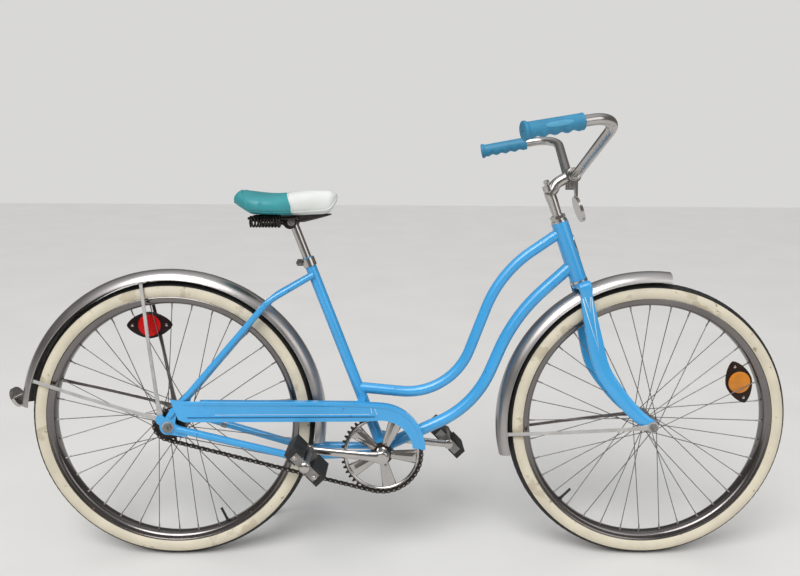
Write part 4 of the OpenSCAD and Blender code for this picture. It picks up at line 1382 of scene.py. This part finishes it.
# Pedal end caps and cage bolts
PEDAL_CAP_Y = 179.9
PEDAL_CAP = [(0, 11.5), (2.5, 11), (4.5, 8.5), (5.2, 4)]
CAGE_BOLT = (4, 3.2)
PEDAL_BOLT_Y = 179.0
PEDAL_BOLT_X = 30.0
PEDAL_TILT = Matrix.Rotation(radians(46), 3, "Y")


def pedal_cap(side, body):
    bm = bmesh.new()
    hub = CRANK + crank_ray(side) * CRANK_LEN
    out = LEFT * side
    turned(bm, hub + out * PEDAL_CAP_Y, out, PEDAL_CAP, 28)
    for end in SIDES:
        across = PEDAL_TILT @ (AHEAD * end * PEDAL_BOLT_X)
        bolt(bm, hub + across + out * PEDAL_BOLT_Y, out, *CAGE_BOLT)
    piece(body + "_cap", bm, "chrome", body)


pedal_cap(-1, "right_pedal")
pedal_cap(1, "left_pedal")

# Stage, metres
FLOOR_SIZE = 14
FLOOR_Z = -0.0012

scene = bpy.context.scene
bpy.ops.mesh.primitive_plane_add(size=FLOOR_SIZE, location=(0, 0, FLOOR_Z))
floor = bpy.context.object
floor.name = "floor"
floor_mat = material("pale_floor", (0.70, 0.69, 0.67), rough=0.9, vary=0.02, scale=3, bump=0.02)
floor.data.materials.append(floor_mat)

# World: a soft graded sky gives the light, and one pale tone fills the background
SKY_STOPS = (
    (0.48, (0.22, 0.21, 0.20, 1)),
    (0.60, (0.42, 0.42, 0.42, 1)),
    (0.95, (0.95, 0.97, 1.0, 1)),
)
SKY_STRENGTH = 0.75
BACKDROP = (0.69, 0.685, 0.68, 1)


def sky_colour(tree):
    """Colour by height, lightest overhead."""
    place = tree.nodes.new("ShaderNodeTexCoord")
    split = tree.nodes.new("ShaderNodeSeparateXYZ")
    tree.links.new(place.outputs["Generated"], split.inputs["Vector"])
    ramp = tree.nodes.new("ShaderNodeValToRGB")
    stops = ramp.color_ramp.elements
    stops.new(SKY_STOPS[1][0])
    for stop, (position, colour) in zip(stops, SKY_STOPS):
        stop.position = position
        stop.color = colour
    tree.links.new(split.outputs["Z"], ramp.inputs["Fac"])
    return ramp.outputs["Color"]


def studio():
    world = bpy.data.worlds.new("studio")
    world.use_nodes = True
    tree = world.node_tree
    sky = tree.nodes["Background"]
    sky.inputs["Strength"].default_value = SKY_STRENGTH
    tree.links.new(sky_colour(tree), sky.inputs["Color"])
    plain = tree.nodes.new("ShaderNodeBackground")
    plain.inputs["Color"].default_value = BACKDROP
    ray = tree.nodes.new("ShaderNodeLightPath")
    mix = tree.nodes.new("ShaderNodeMixShader")
    tree.links.new(ray.outputs["Is Camera Ray"], mix.inputs["Fac"])
    tree.links.new(sky.outputs["Background"], mix.inputs[1])
    tree.links.new(plain.outputs["Background"], mix.inputs[2])
    tree.links.new(mix.outputs["Shader"], tree.nodes["World Output"].inputs["Surface"])
    scene.world = world


studio()

# Lights, metres and watts
SUN_STRENGTH = 1.75
SUN_SPREAD = radians(40)
SUN_TURN = (radians(32), radians(-14), 0)


def lamp(name, place, aim, size, watts):
    """A square area light."""
    light = bpy.data.lights.new(name, "AREA")
    light.shape = "RECTANGLE"
    light.size = size
    light.size_y = size
    light.energy = watts
    obj = bpy.data.objects.new(name, light)
    obj.location = place
    obj.rotation_euler = (Vector(aim) - Vector(place)).to_track_quat("-Z", "Y").to_euler()
    scene.collection.objects.link(obj)


lamp("key", (-1.6, -2.6, 3.2), (0, 0, 0.4), 2.6, 45)
lamp("fill", (2.4, -2.2, 2.0), (0.2, 0, 0.4), 2.0, 18)
soft_sun = bpy.data.lights.new("soft_sun", "SUN")
soft_sun.energy = SUN_STRENGTH
soft_sun.angle = SUN_SPREAD
sun = bpy.data.objects.new("soft_sun", soft_sun)
sun.rotation_euler = SUN_TURN
scene.collection.objects.link(sun)

# Camera: place in millimetres from the foot of the rear wheel, turns in degrees
EYE = Vector((508.1, -1553.5, 1026.7))
YAW = -0.79
PITCH_DOWN = -13.35
ROLL = -0.43
SENSOR = 36
FOCAL_SHARE = 716.5 / 800

camera = bpy.data.cameras.new("camera")
camera.sensor_width = SENSOR
camera.lens = FOCAL_SHARE * SENSOR
view = bpy.data.objects.new("camera", camera)
scene.collection.objects.link(view)
camera_turn = (
    Matrix.Rotation(radians(YAW), 3, "Z")
    @ Matrix.Rotation(radians(PITCH_DOWN), 3, "X")
    @ Matrix.Rotation(radians(ROLL), 3, "Y")
)
right, forward, above = camera_turn.col
camera_axes = Matrix((right, above, -forward)).transposed().to_4x4()
camera_place = (EYE + Vector((-MID_X, -MID_Y, LIFT))) * METRES
view.matrix_world = Matrix.Translation(camera_place) @ camera_axes
scene.camera = view
scene.view_settings.view_transform = "Standard"
